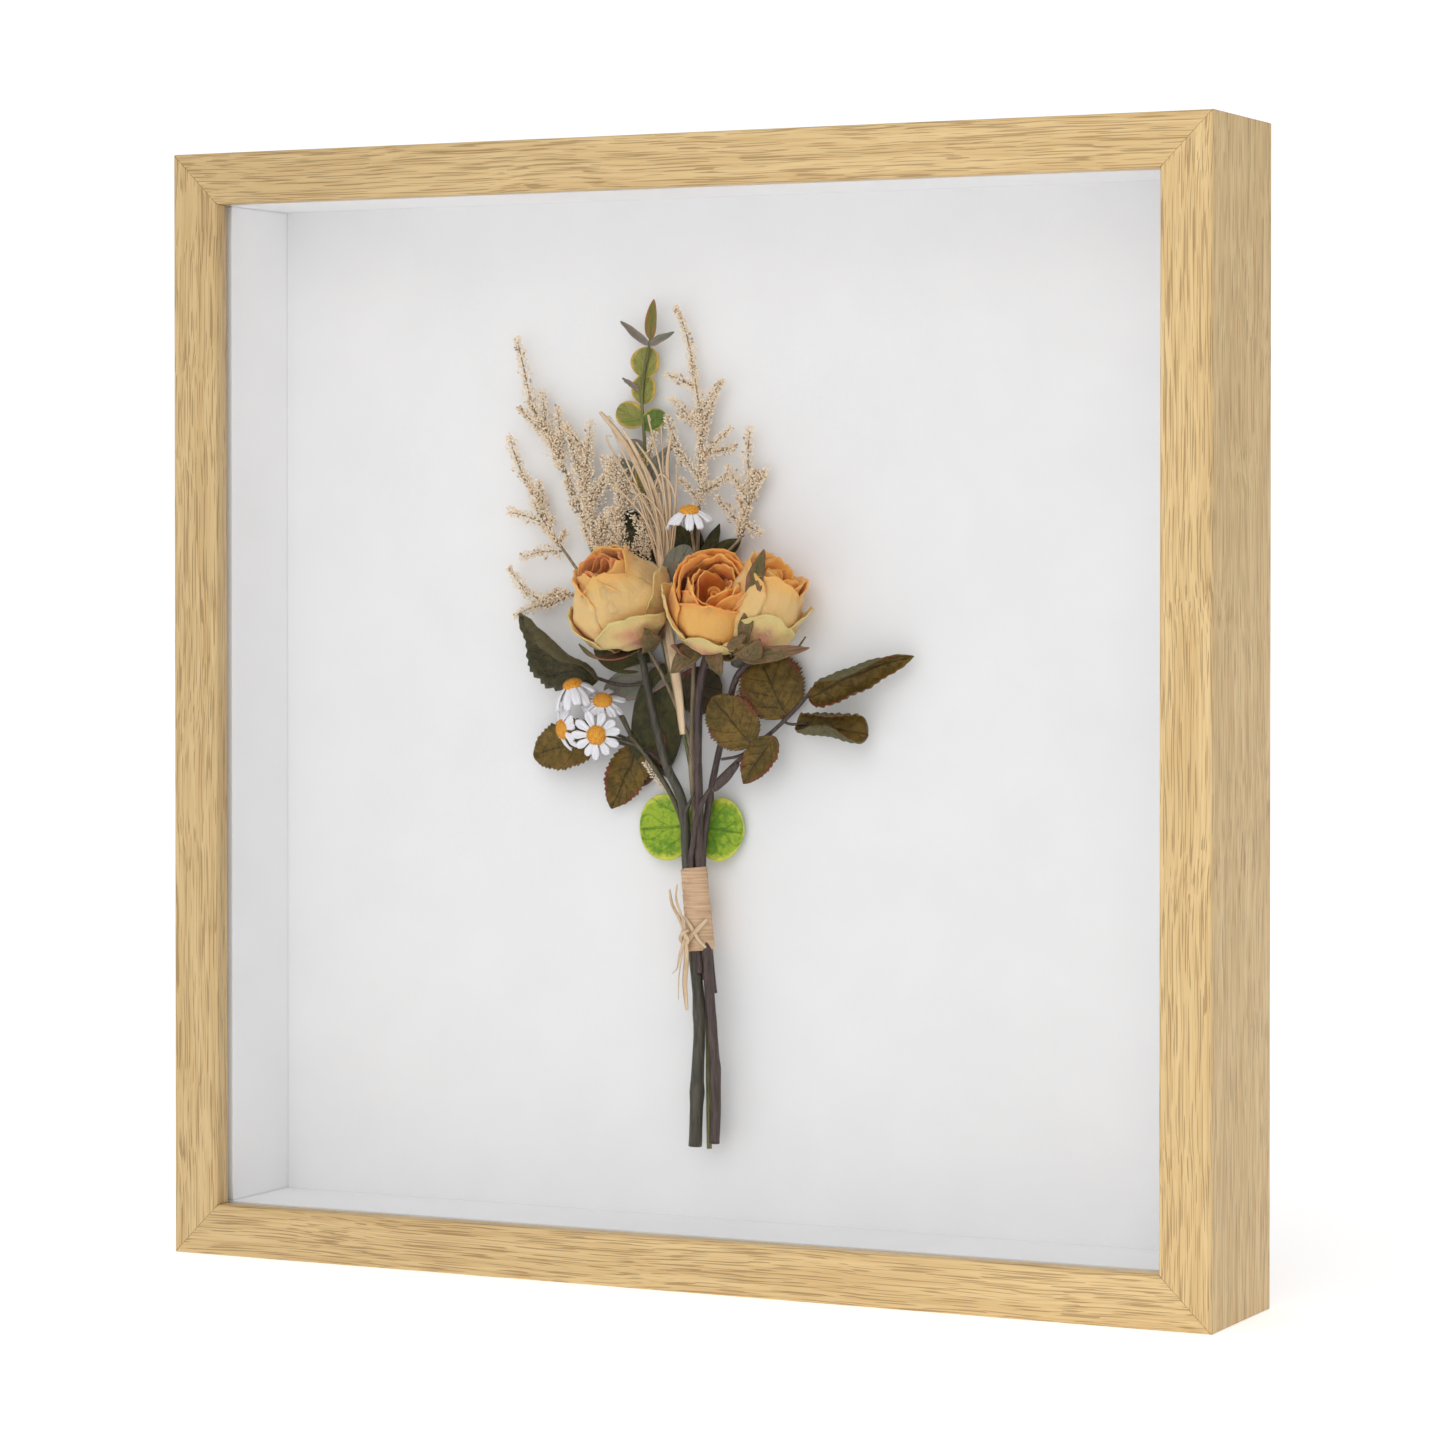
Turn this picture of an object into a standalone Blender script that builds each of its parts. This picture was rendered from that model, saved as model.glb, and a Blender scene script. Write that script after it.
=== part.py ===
"""Shadow-box picture frame with a dried-flower bouquet inside.

A square oak-veneer frame, 330 mm each way and 48 mm deep, stands on its bottom rail or hangs on a
wall. The front is at -Y, the wall is at +Y and the shelf is at Z = 0. Four mitred rails hold the
glass behind a narrow lip; white liners keep the display board away from the glass, and a back
panel is held by four turn buttons. The bouquet is tied with raffia and stuck to the display board.

Every place is given as (across, depth, up) in millimetres: across from the middle of the frame,
depth from the front face towards the wall, and up from the underside of the bottom rail.
"""

import math

import bmesh
import bpy
from mathutils import Matrix, Vector

MM = 0.001
COLLECTION = "floating_frame"

# Frame, in millimetres
OUTER = 330.0
HALF = OUTER / 2
RAIL_DEPTH = 48.0
FACE_WIDTH = 15.2
WALL = 10.7
LIP = 5.9
EDGE_ROUND = 0.7
MITRE_GAP = 0.2
GAP = 0.3
REAR_PLANE = 52.2

# Glazing and the stack behind it
GLASS_SIZE = 305.0
GLASS_FRONT = LIP + GAP
GLASS_THICK = 2.0
LINER_THICK = FACE_WIDTH - WALL - GAP
LINER_FRONT = GLASS_FRONT + GLASS_THICK + GAP
BOARD_SIZE = OUTER - 2 * WALL - 1.0
BOARD_FRONT = 40.5
BOARD_THICK = 3.9
PANEL_FRONT = BOARD_FRONT + BOARD_THICK + GAP
PANEL_THICK = 3.0

# Back hardware
RAIL_MIDDLE = WALL / 2
HOLE_CLEARANCE = 0.3
SCREW_SHANK = 1.2
SCREW_LENGTH = 8.0
BUTTON_WIDTH = 7.0
BUTTON_REACH = 13.0
BUTTON_THICK = 1.2
BUTTON_FRONT = RAIL_DEPTH + GAP
BUTTON_HEAD = 3.0
HEAD_HEIGHT = 1.4
SCREW_POINT = 1.5
RECESS_DEPTH = 0.7
RECESS_REACH = 1.5
RECESS_HALF_WIDTH = 0.3
V_NAIL_OFFSET = 4.0
V_NAIL_LEG = 5.0
V_NAIL_THICK = 0.6
V_NAIL_DEPTH = 10.0
BUMPER_RADIUS = 4.2
BUMPER_FLAT = 3.2
BUMPER_FROM_END = 17.0
HANGER_UP = 246.0
STRAP_WIDTH = 6.0
STRAP_LENGTH = 9.0
STRAP_THICK = 0.9
LOOP_OUTER = 1.8
LOOP_INNER = 0.8
RING_WIRE = 0.5
RING_HALF_WIDTH = 3.8
RING_CORNER = 1.1
RING_STRAIGHT = 7.0
HANGER_HEAD = 2.5
HANGER_SCREW_DROP = 5.4

# Bouquet
STEM = 0.95
STEM_FLARE = 24.0
WRAP_LOW = (-4.4, 33.0, 94.6)
WRAP_HIGH = (-6.6, 33.0, 118.8)
WRAP_OUTER = 4.1
WRAP_INNER = 3.4
SLOT_SPACING = 2.3
LEAF_THICK = 0.6
DAISY_RADIUS = 6.8
DAISY_CENTRE = 2.3
DAISY_PETALS = 12
DAISY_NOTCH = 0.38
DAISY_DOME = 1.5
STRAP_LEAF = 62.0
STRAP_LEAF_HALF_WIDTH = 1.9
GLUE_RADIUS = 2.8
PRESSED_GAP = 0.4

COLOURS = {
    "oak": ((0.62, 0.42, 0.22), 0.5, 0.0),
    "glass": ((0.92, 0.96, 0.95), 0.03, 0.0),
    "white_board": ((0.83, 0.83, 0.83), 0.8, 0.0),
    "hardboard": ((0.28, 0.17, 0.09), 0.75, 0.0),
    "plated_steel": ((0.62, 0.60, 0.56), 0.3, 1.0),
    "brass_plate": ((0.70, 0.55, 0.28), 0.3, 1.0),
    "rubber": ((0.05, 0.05, 0.05), 0.8, 0.0),
    "rose_petal": ((0.85, 0.52, 0.22), 0.7, 0.0),
    "rose_stem": ((0.06, 0.045, 0.035), 0.6, 0.0),
    "dark_leaf": ((0.09, 0.085, 0.02), 0.6, 0.0),
    "eucalyptus": ((0.14, 0.22, 0.06), 0.55, 0.0),
    "statice": ((0.52, 0.40, 0.27), 0.85, 0.0),
    "daisy": ((0.82, 0.82, 0.84), 0.7, 0.0),
    "raffia": ((0.66, 0.47, 0.28), 0.8, 0.0),
    "glue": ((0.75, 0.72, 0.62), 0.5, 0.0),
}


# ---------------------------------------------------------------- helpers

def clear_scene():
    for item in list(bpy.data.objects):
        bpy.data.objects.remove(item, do_unlink=True)


def part_collection():
    found = bpy.data.collections.get(COLLECTION)
    if found is None:
        found = bpy.data.collections.new(COLLECTION)
        bpy.context.scene.collection.children.link(found)
    return found


def material(name):
    found = bpy.data.materials.get(name)
    if found is None:
        colour, roughness, metallic = COLOURS[name]
        found = bpy.data.materials.new(name)
        found.use_nodes = True
        shader = found.node_tree.nodes["Principled BSDF"]
        shader.inputs["Base Color"].default_value = (*colour, 1.0)
        shader.inputs["Roughness"].default_value = roughness
        shader.inputs["Metallic"].default_value = metallic
        found.diffuse_color = (*colour, 1.0)
    return found


def place(across, depth, up):
    """World position, in metres, of a point of the frame given in millimetres."""
    return Vector((across, depth - REAR_PLANE / 2, up)) * MM


def add_object(name, data, material_name):
    data.materials.clear()
    data.materials.append(material(material_name))
    item = bpy.data.objects.new(name, data)
    part_collection().objects.link(item)
    return item


def scratch(data, matrix=None):
    """A working object that ends up joined into, or cut out of, a named part."""
    item = bpy.data.objects.new("working", data)
    bpy.context.scene.collection.objects.link(item)
    if matrix is not None:
        item.matrix_world = matrix
    return item


def discard(item):
    data = item.data
    bpy.data.objects.remove(item, do_unlink=True)
    if isinstance(data, bpy.types.Mesh):
        bpy.data.meshes.remove(data)
    else:
        bpy.data.curves.remove(data)


def evaluated_mesh(item):
    bpy.context.view_layer.update()
    return bpy.data.meshes.new_from_object(item.evaluated_get(bpy.context.evaluated_depsgraph_get()))


def to_mesh(curve_item):
    """Swap a curve object for a working mesh object in the same place, with its caps welded."""
    data = evaluated_mesh(curve_item)
    matrix = curve_item.matrix_world.copy()
    discard(curve_item)
    work = bmesh.new()
    work.from_mesh(data)
    bmesh.ops.remove_doubles(work, verts=work.verts, dist=0.01 * MM)
    bmesh.ops.recalc_face_normals(work, faces=work.faces)
    work.to_mesh(data)
    work.free()
    return scratch(data, matrix)


def combine(base, tools, operation):
    """Apply one Boolean per tool to the base object's mesh, and discard the tools."""
    for tool in tools:
        step = base.modifiers.new("step", "BOOLEAN")
        step.operation = operation
        step.object = tool
    data = evaluated_mesh(base)
    old = base.data
    base.modifiers.clear()
    base.data = data
    bpy.data.meshes.remove(old)
    for tool in tools:
        discard(tool)
    return base


def unite(base, tools):
    return combine(base, tools, "UNION")


def cut(base, tools):
    return combine(base, tools, "DIFFERENCE")


def name_part(work_item, name, material_name, smooth_angle=35.0):
    """Turn a working object into a named part with its own material."""
    data = work_item.data
    data.name = name
    part = add_object(name, data, material_name)
    part.matrix_world = work_item.matrix_world.copy()
    bpy.data.objects.remove(work_item, do_unlink=True)
    data.shade_smooth()
    data.set_sharp_from_angle(angle=math.radians(smooth_angle))
    return part


def cuboid(low, high):
    """A working box between two corners given as (across, depth, up)."""
    work = bmesh.new()
    bmesh.ops.create_cube(work, size=1.0)
    start = place(*low)
    size = place(*high) - start
    bmesh.ops.scale(work, vec=size, verts=work.verts)
    data = bpy.data.meshes.new("cuboid")
    work.to_mesh(data)
    work.free()
    return scratch(data, Matrix.Translation(start + size / 2))


def soft_box(name, low, high, material_name, rounding):
    part = name_part(cuboid(low, high), name, material_name)
    bevel = part.modifiers.new("soft_edges", "BEVEL")
    bevel.width = rounding * MM
    bevel.segments = 2
    bevel.limit_method = "ANGLE"
    return part


def cylinder(centre, radius, length, direction="Y", sides=32):
    """A working cylinder about a point given as (across, depth, up)."""
    work = bmesh.new()
    bmesh.ops.create_cone(work, cap_ends=True, segments=sides, radius1=radius * MM,
                          radius2=radius * MM, depth=length * MM)
    data = bpy.data.meshes.new("cylinder")
    work.to_mesh(data)
    work.free()
    turn = Matrix.Rotation(math.radians(90), 4, "X" if direction == "Y" else "Y")
    return scratch(data, Matrix.Translation(place(*centre)) @ turn)


def turned(profile, matrix, steps=32, ring=False):
    """A working solid of revolution: profile of (radius, height) in millimetres, top to bottom."""
    data = bpy.data.meshes.new("turned")
    points = [(radius * MM, 0.0, height * MM) for radius, height in profile]
    edges = [(i, i + 1) for i in range(len(points) - 1)]
    if ring:
        edges.append((len(points) - 1, 0))
    data.from_pydata(points, edges, [])
    item = scratch(data, matrix)
    screw = item.modifiers.new("turn", "SCREW")
    screw.steps = screw.render_steps = steps
    screw.use_merge_vertices = True
    screw.merge_threshold = 0.000005
    item.data = evaluated_mesh(item)
    item.modifiers.clear()
    bpy.data.meshes.remove(data)
    return item


def taper(start, end):
    """Radius along a route, going evenly from one value to another."""
    return lambda share, point: start + (end - start) * share


def tube(route, radius, sides=2, closed=False):
    """A working round rod along a route; radius is a number, or a function of the way along."""
    curve = bpy.data.curves.new("tube", "CURVE")
    curve.dimensions = "3D"
    curve.bevel_depth = MM
    curve.bevel_resolution = sides
    curve.use_fill_caps = not closed
    spline = curve.splines.new("POLY")
    spline.points.add(len(route) - 1)
    for index, point in enumerate(route):
        share = index / (len(route) - 1)
        spline.points[index].co = (*place(*point), 1.0)
        spline.points[index].radius = radius(share, point) if callable(radius) else radius
    spline.use_cyclic_u = closed
    return to_mesh(scratch(curve))


def plate(outlines, thick, matrix):
    """A working flat plate, in millimetres; outlines after the first one are holes in it."""
    curve = bpy.data.curves.new("plate", "CURVE")
    curve.dimensions = "2D"
    curve.fill_mode = "BOTH"
    curve.extrude = thick * MM / 2
    for outline in outlines:
        spline = curve.splines.new("POLY")
        spline.points.add(len(outline) - 1)
        for point, (x, y) in zip(spline.points, outline):
            point.co = (x * MM, y * MM, 0.0, 1.0)
        spline.use_cyclic_u = True
    return to_mesh(scratch(curve, matrix))


def arc(centre, radius, start, end, steps):
    """Points along an arc, angles in degrees."""
    angles = [math.radians(start + (end - start) * i / steps) for i in range(steps + 1)]
    return [(centre[0] + radius * math.cos(a), centre[1] + radius * math.sin(a)) for a in angles]


def smooth_route(points, per_span=3):
    """A smooth curve through the given points."""
    padded = [points[0], *points, points[-1]]
    route = []
    for before, start, end, after in zip(padded, padded[1:], padded[2:], padded[3:]):
        before, start, end, after = (Vector(p) for p in (before, start, end, after))
        for i in range(per_span):
            t = i / per_span
            route.append(0.5 * (2 * start + (end - before) * t
                                + (2 * before - 5 * start + 4 * end - after) * t ** 2
                                + (3 * start - before - 3 * end + after) * t ** 3))
    route.append(Vector(points[-1]))
    return [tuple(point) for point in route]


def facing_matrix(origin, along, normal):
    """Matrix with local X along one direction and local Z as near as it can be to the normal."""
    x_axis = Vector(along).normalized()
    y_axis = Vector(normal).normalized().cross(x_axis).normalized()
    z_axis = x_axis.cross(y_axis)
    matrix = Matrix((x_axis, y_axis, z_axis)).transposed().to_4x4()
    return Matrix.Translation(place(*origin)) @ matrix


def axis_matrix(origin, direction):
    """Matrix with local Z along the given direction."""
    turn = Vector((0.0, 0.0, 1.0)).rotation_difference(Vector(direction)).to_matrix().to_4x4()
    return Matrix.Translation(place(*origin)) @ turn


# ---------------------------------------------------------------- frame

def quarter_turns(turns):
    """Turn about the frame's middle that carries the bottom rail to another side."""
    middle = place(0.0, 0.0, HALF)
    return (Matrix.Translation(middle) @ Matrix.Rotation(math.radians(90 * turns), 4, "Y")
            @ Matrix.Translation(-middle))


def rail_profile():
    """L-shaped section: X runs inwards from the outer edge, Y from the front face to the wall."""
    near, face = EDGE_ROUND, FACE_WIDTH - EDGE_ROUND
    wall, rear = WALL - EDGE_ROUND, RAIL_DEPTH - EDGE_ROUND
    return [*arc((near, near), EDGE_ROUND, 180, 270, 3),
            *arc((face, near), EDGE_ROUND, 270, 360, 3),
            *arc((face, LIP - EDGE_ROUND), EDGE_ROUND, 0, 90, 3),
            (WALL, LIP),
            *arc((wall, rear), EDGE_ROUND, 0, 90, 3),
            *arc((near, rear), EDGE_ROUND, 90, 180, 3)]


def mitre_cutter(side):
    """Block that trims a bottom rail to 45 degrees at its left (-1) or right (1) end."""
    size = 60.0
    block = cuboid((-size / 2, -1.0, -size / 2), (size / 2, RAIL_DEPTH + 1.0, size / 2))
    reach = size / 2 - MITRE_GAP / 2
    centre = (side * (HALF + reach * math.sqrt(0.5)), RAIL_DEPTH / 2, reach * math.sqrt(0.5))
    block.matrix_world = Matrix.Translation(place(*centre)) @ Matrix.Rotation(math.radians(45), 4, "Y")
    return block


def v_nail(side, grow=0.0):
    """The V nail at an end of the bottom rail, a leg in each rail, or the pocket it sits in."""
    inner = V_NAIL_OFFSET - grow
    outer = V_NAIL_OFFSET + V_NAIL_THICK + grow
    tip = V_NAIL_OFFSET + V_NAIL_LEG + grow
    rear = RAIL_DEPTH - GAP + 2 * grow
    front = RAIL_DEPTH - GAP - V_NAIL_DEPTH - grow
    outline = [(inner, inner), (tip, inner), (tip, outer), (outer, outer), (outer, tip), (inner, tip)]
    outline = [(side * (HALF - x), y) for x, y in outline]
    middle = Matrix.Translation(place(0.0, (front + rear) / 2, 0.0))
    return plate([outline], rear - front, middle @ Matrix.Rotation(math.radians(90), 4, "X"))


def screw_hole(across, up):
    length = SCREW_LENGTH + 1.0
    return cylinder((across, RAIL_DEPTH - length / 2 + 0.5, up), SCREW_SHANK + HOLE_CLEARANCE, length)


def build_rails():
    """Bottom rail first, then each other rail as the same piece turned about the middle."""
    hanger_hole = HANGER_UP - HANGER_SCREW_DROP
    for name, turns in (("bottom", 0), ("left", 1), ("top", 2), ("right", 3)):
        along_rail = Matrix(((0, 0, -1), (0, 1, 0), (1, 0, 0))).to_4x4()
        rail = plate([rail_profile()], OUTER, Matrix.Translation(place(0, 0, 0)) @ along_rail)
        holes = [screw_hole(0.0, RAIL_MIDDLE)]
        if name == "left":
            holes.append(screw_hole(HALF - hanger_hole, RAIL_MIDDLE))
        if name == "right":
            holes.append(screw_hole(hanger_hole - HALF, RAIL_MIDDLE))
        pockets = [v_nail(side, HOLE_CLEARANCE) for side in (-1, 1)]
        cut(rail, [mitre_cutter(-1), mitre_cutter(1), *pockets, *holes])
        rail.matrix_world = quarter_turns(turns) @ rail.matrix_world
        name_part(rail, f"rail_{name}", "oak")


def build_v_nails():
    for name, turns in (("bottom_left", 0), ("top_left", 1), ("top_right", 2), ("bottom_right", 3)):
        nail = v_nail(-1)
        nail.matrix_world = quarter_turns(turns) @ nail.matrix_world
        name_part(nail, f"v_nail_{name}", "plated_steel")


def build_glazing():
    half_glass = GLASS_SIZE / 2
    soft_box("glass_pane", (-half_glass, GLASS_FRONT, HALF - half_glass),
             (half_glass, GLASS_FRONT + GLASS_THICK, HALF + half_glass), "glass", 0.2)


def build_liners():
    """Top and bottom liners run right across, and the side liners stand between them."""
    outer = HALF - WALL - GAP
    inner = outer - LINER_THICK
    rear = BOARD_FRONT - GAP
    for name, side in (("bottom", -1), ("top", 1)):
        edges = sorted((side * outer, side * inner))
        soft_box(f"liner_{name}", (-outer, LINER_FRONT, HALF + edges[0]),
                 (outer, rear, HALF + edges[1]), "white_board", 0.2)
    for name, side in (("left", -1), ("right", 1)):
        edges = sorted((side * outer, side * inner))
        soft_box(f"liner_{name}", (edges[0], LINER_FRONT, HALF - inner + GAP),
                 (edges[1], rear, HALF + inner - GAP), "white_board", 0.2)


def build_boards():
    half = BOARD_SIZE / 2
    soft_box("display_board", (-half, BOARD_FRONT, HALF - half),
             (half, BOARD_FRONT + BOARD_THICK, HALF + half), "white_board", 0.2)
    soft_box("back_panel", (-half, PANEL_FRONT, HALF - half),
             (half, PANEL_FRONT + PANEL_THICK, HALF + half), "hardboard", 0.3)


# ---------------------------------------------------------------- back hardware

def wood_screw(name, across, up, seat, head_radius):
    """Pan-head screw with a cross recess, its head resting on a plate whose rear face is seat."""
    under_head = seat + GAP
    tip = under_head - (RAIL_DEPTH - SCREW_LENGTH)
    dome = [(head_radius * math.sin(math.radians(a)), HEAD_HEIGHT * math.cos(math.radians(a)))
            for a in (0, 25, 45, 62, 76, 90)]
    profile = dome + [(SCREW_SHANK, 0.0), (SCREW_SHANK, SCREW_POINT - tip), (0.0, -tip)]
    screw = turned(profile, axis_matrix((across, under_head, up), (0, 1, 0)), 24)
    top = under_head + HEAD_HEIGHT
    slots = [cuboid((across - x, top - RECESS_DEPTH, up - z), (across + x, top + 1.0, up + z))
             for x, z in ((RECESS_REACH, RECESS_HALF_WIDTH), (RECESS_HALF_WIDTH, RECESS_REACH))]
    name_part(cut(screw, slots), name, "plated_steel")


def button_outline():
    """Stadium from the pivot at the origin, reaching along +X."""
    radius = BUTTON_WIDTH / 2
    return (arc((0, 0), radius, 90, 270, 10)
            + arc((BUTTON_REACH - radius, 0), radius, -90, 90, 10))


def build_turn_buttons():
    """One on the middle of each rail; each turns about its screw and points inwards when shut."""
    hole = arc((0, 0), SCREW_SHANK + HOLE_CLEARANCE, 0, 345, 23)
    for name, turns in (("bottom", 0), ("left", 1), ("top", 2), ("right", 3)):
        flat = facing_matrix((0.0, BUTTON_FRONT + BUTTON_THICK / 2, RAIL_MIDDLE), (0, 0, 1), (0, 1, 0))
        button = plate([button_outline(), hole], BUTTON_THICK, quarter_turns(turns) @ flat)
        name_part(button, f"turn_button_{name}", "brass_plate")
        across, up = ((0.0, RAIL_MIDDLE), (RAIL_MIDDLE - HALF, HALF), (0.0, OUTER - RAIL_MIDDLE),
                      (HALF - RAIL_MIDDLE, HALF))[turns]
        wood_screw(f"turn_button_screw_{name}", across, up, BUTTON_FRONT + BUTTON_THICK, BUTTON_HEAD)


def ring_route():
    """Centre line of the D ring in its own plane: bar through the loop, then sides and bow."""
    inner = RING_HALF_WIDTH - RING_CORNER
    right = arc((inner, -RING_CORNER), RING_CORNER, 90, 0, 4)
    bow = arc((0.0, -RING_STRAIGHT), RING_HALF_WIDTH, 0, -180, 14)
    left = arc((-inner, -RING_CORNER), RING_CORNER, 180, 90, 4)
    return right + bow + left


def build_hangers():
    """A strap with a rolled loop on each side rail, the ring hanging from the loop."""
    strap_front = RAIL_DEPTH + GAP
    loop_depth = strap_front + LOOP_OUTER
    for name, side in (("left", -1), ("right", 1)):
        across = side * (HALF - RAIL_MIDDLE)
        half = STRAP_WIDTH / 2
        strap = cuboid((across - half, strap_front, HANGER_UP - STRAP_LENGTH),
                       (across + half, strap_front + STRAP_THICK, HANGER_UP))
        roll = cylinder((across, loop_depth, HANGER_UP), LOOP_OUTER, STRAP_WIDTH, "X")
        unite(strap, [roll])
        bore = cylinder((across, loop_depth, HANGER_UP), LOOP_INNER, STRAP_WIDTH + 2, "X")
        screw_up = HANGER_UP - HANGER_SCREW_DROP
        hole = cylinder((across, strap_front, screw_up), SCREW_SHANK + HOLE_CLEARANCE, 6.0)
        name_part(cut(strap, [bore, hole]), f"hanger_strap_{name}", "plated_steel")
        wood_screw(f"hanger_screw_{name}", across, screw_up, strap_front + STRAP_THICK, HANGER_HEAD)
        route = [(across + x, loop_depth, HANGER_UP + y) for x, y in ring_route()]
        ring = name_part(tube(route, RING_WIRE, sides=3, closed=True),
                         f"hanger_ring_{name}", "plated_steel")
        pivot = place(across, loop_depth, HANGER_UP)
        ring.data.transform(Matrix.Translation(-pivot) @ ring.matrix_world)
        ring.matrix_world = Matrix.Translation(pivot)


def build_bumpers():
    height = REAR_PLANE - RAIL_DEPTH - GAP
    shoulder = [(BUMPER_FLAT + (BUMPER_RADIUS - BUMPER_FLAT) * math.sin(math.radians(a)),
                 height - 1.0 + math.cos(math.radians(a))) for a in (0, 30, 60, 90)]
    profile = [(0.0, height), *shoulder, (BUMPER_RADIUS, 0.0), (0.0, 0.0)]
    for level, up in (("bottom", RAIL_MIDDLE), ("top", OUTER - RAIL_MIDDLE)):
        for name, side in (("left", -1), ("right", 1)):
            centre = (side * (HALF - BUMPER_FROM_END), RAIL_DEPTH + GAP, up)
            bumper = turned(profile, axis_matrix(centre, (0, 1, 0)))
            name_part(bumper, f"bumper_{level}_{name}", "rubber")


# ---------------------------------------------------------------- bouquet

def wrap_slot(angle=None):
    """Sideways and depth offset of one of seven stems packed in the wrap, None for the middle."""
    if angle is None:
        return (0.0, 0.0)
    turn = math.radians(angle)
    return (SLOT_SPACING * math.cos(turn), SLOT_SPACING * math.sin(turn))


def through_wrap(slot, cut_end, onward):
    """Smooth route from a stem's cut end up through its slot in the wrap and onward."""
    inside = [(x + slot[0], y + slot[1], z) for x, y, z in (WRAP_LOW, WRAP_HIGH)]
    return smooth_route([*cut_end, *inside, *onward])


def leaf_outline(length, half_width, roundness):
    """Leaf with its base at the origin, along +X; roundness 1 is an oval, less is pointed."""
    upper = []
    steps = 9
    for i in range(steps + 1):
        t = i / steps
        bulge = math.sin(math.pi * t ** 0.85)
        upper.append((length * t, half_width * max(bulge, 0.0) ** (1.0 / (0.6 + roundness))))
    return upper + [(x, -y) for x, y in reversed(upper[1:-1])]


def leaf(base, tip, half_width, normal=(0.0, -1.0, 0.0), roundness=0.5, thick=LEAF_THICK):
    along = Vector(tip) - Vector(base)
    outline = leaf_outline(along.length, half_width, roundness)
    return plate([outline], thick, facing_matrix(base, along, normal))


def spike(base, tip, radius):
    """Slender flower spike from base to tip, rooted a little behind its base."""
    base = Vector(base) - 0.12 * (Vector(tip) - Vector(base))
    axis = Vector(tip) - base
    work = bmesh.new()
    bmesh.ops.create_icosphere(work, subdivisions=1, radius=1.0)
    bmesh.ops.scale(work, vec=(radius * MM, radius * MM, axis.length * MM / 2), verts=work.verts)
    data = bpy.data.meshes.new("spike")
    work.to_mesh(data)
    work.free()
    return scratch(data, axis_matrix((base + Vector(tip)) / 2, axis))


ROSES = {
    "left": {"centre": (-27.6, 22.0, 197.4), "axis": (0.08, -0.86, 0.5),
             "size": (15.6, 16.4, 10.8)},
    "centre": {"centre": (4.2, 21.6, 195.8), "axis": (0.30, -0.80, 0.51),
               "size": (13.8, 14.8, 11.0)},
    "right": {"centre": (19.6, 27.6, 195.4), "axis": (0.46, -0.10, 0.88),
              "size": (10.8, 9.6, 13.6)},
}

ROSE_STEMS = {
    "left": {"slot": wrap_slot(210), "cut_radius": 1.6,
             "cut": [(-6.0, 32.6, 37.2), (-5.6, 32.4, 56.6), (-4.9, 31.9, 76.0)],
             "onward": [(-9.7, 31.4, 137.0), (-15.4, 31.2, 149.0), (-21.0, 30.8, 168.0),
                        (-25.6, 30.6, 182.0), (-27.4, 27.5, 190.5)]},
    "centre": {"slot": wrap_slot(330), "cut_radius": 1.3,
               "cut": [(-0.2, 32.6, 38.4), (-0.1, 32.4, 58.0), (-0.8, 32.0, 76.0)],
               "onward": [(-3.6, 31.4, 137.0), (-4.4, 31.2, 152.0), (-4.0, 31.6, 170.0),
                          (-1.6, 31.2, 182.0), (1.2, 27.2, 190.0)]},
    "right": {"slot": wrap_slot(30), "cut_radius": STEM, "cut": [(-1.2, 34.6, 82.0)],
              "onward": [(-2.6, 34.0, 137.0), (-0.4, 34.0, 147.0), (2.6, 34.0, 160.0),
                         (6.2, 33.4, 176.0), (12.5, 30.0, 184.5)]},
}

ROSE_PROFILE = [(0.0, 0.62), (0.10, 0.66), (0.16, 0.54), (0.20, 0.44), (0.24, 0.58), (0.29, 0.74),
                (0.34, 0.74), (0.38, 0.56), (0.43, 0.66), (0.49, 0.82), (0.55, 0.81), (0.59, 0.62),
                (0.65, 0.66), (0.72, 0.76), (0.79, 0.72), (0.88, 0.50), (0.96, 0.22), (1.0, -0.08),
                (0.95, -0.38), (0.82, -0.66), (0.60, -0.86), (0.30, -0.97), (0.0, -1.0)]


def rose_solid(rose):
    """Ringed flower body on its own axis: petals as rounded rings, rim outermost."""
    across, tall, deep = rose["size"]
    profile = [(radius * across, height * deep) for radius, height in ROSE_PROFILE]
    head = turned(profile, Matrix.Identity(4), 24)
    head.data.transform(Matrix.Diagonal((1.0, tall / across, 1.0, 1.0)))
    axis = Vector(rose["axis"]).normalized()
    side = Vector((0.0, 0.0, 1.0)).cross(axis).normalized()
    turn = Matrix((side, axis.cross(side), axis)).transposed().to_4x4()
    head.matrix_world = Matrix.Translation(place(*rose["centre"])) @ turn
    return head


def grown_copy(name, distance):
    """Working copy of a finished part, larger all round."""
    part = bpy.data.objects[name]
    copy = scratch(part.data.copy(), part.matrix_world)
    swell = copy.modifiers.new("swell", "DISPLACE")
    swell.strength = distance * MM
    swell.mid_level = 0.0
    return copy


def build_roses():
    """Each head is pushed onto its stem and pressed in by whatever it leans on."""
    leans_on = {
        "centre": ["rose_stem_centre", "statice_spray"],
        "left": ["rose_stem_left", "statice_spray"],
        "right": ["rose_stem_right", "rose_centre", "statice_spray"],
    }
    for name, neighbours in leans_on.items():
        head = rose_solid(ROSES[name])
        cut(head, [grown_copy(neighbour, PRESSED_GAP) for neighbour in neighbours])
        name_part(head, f"rose_{name}", "rose_petal", 50.0)


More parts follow.
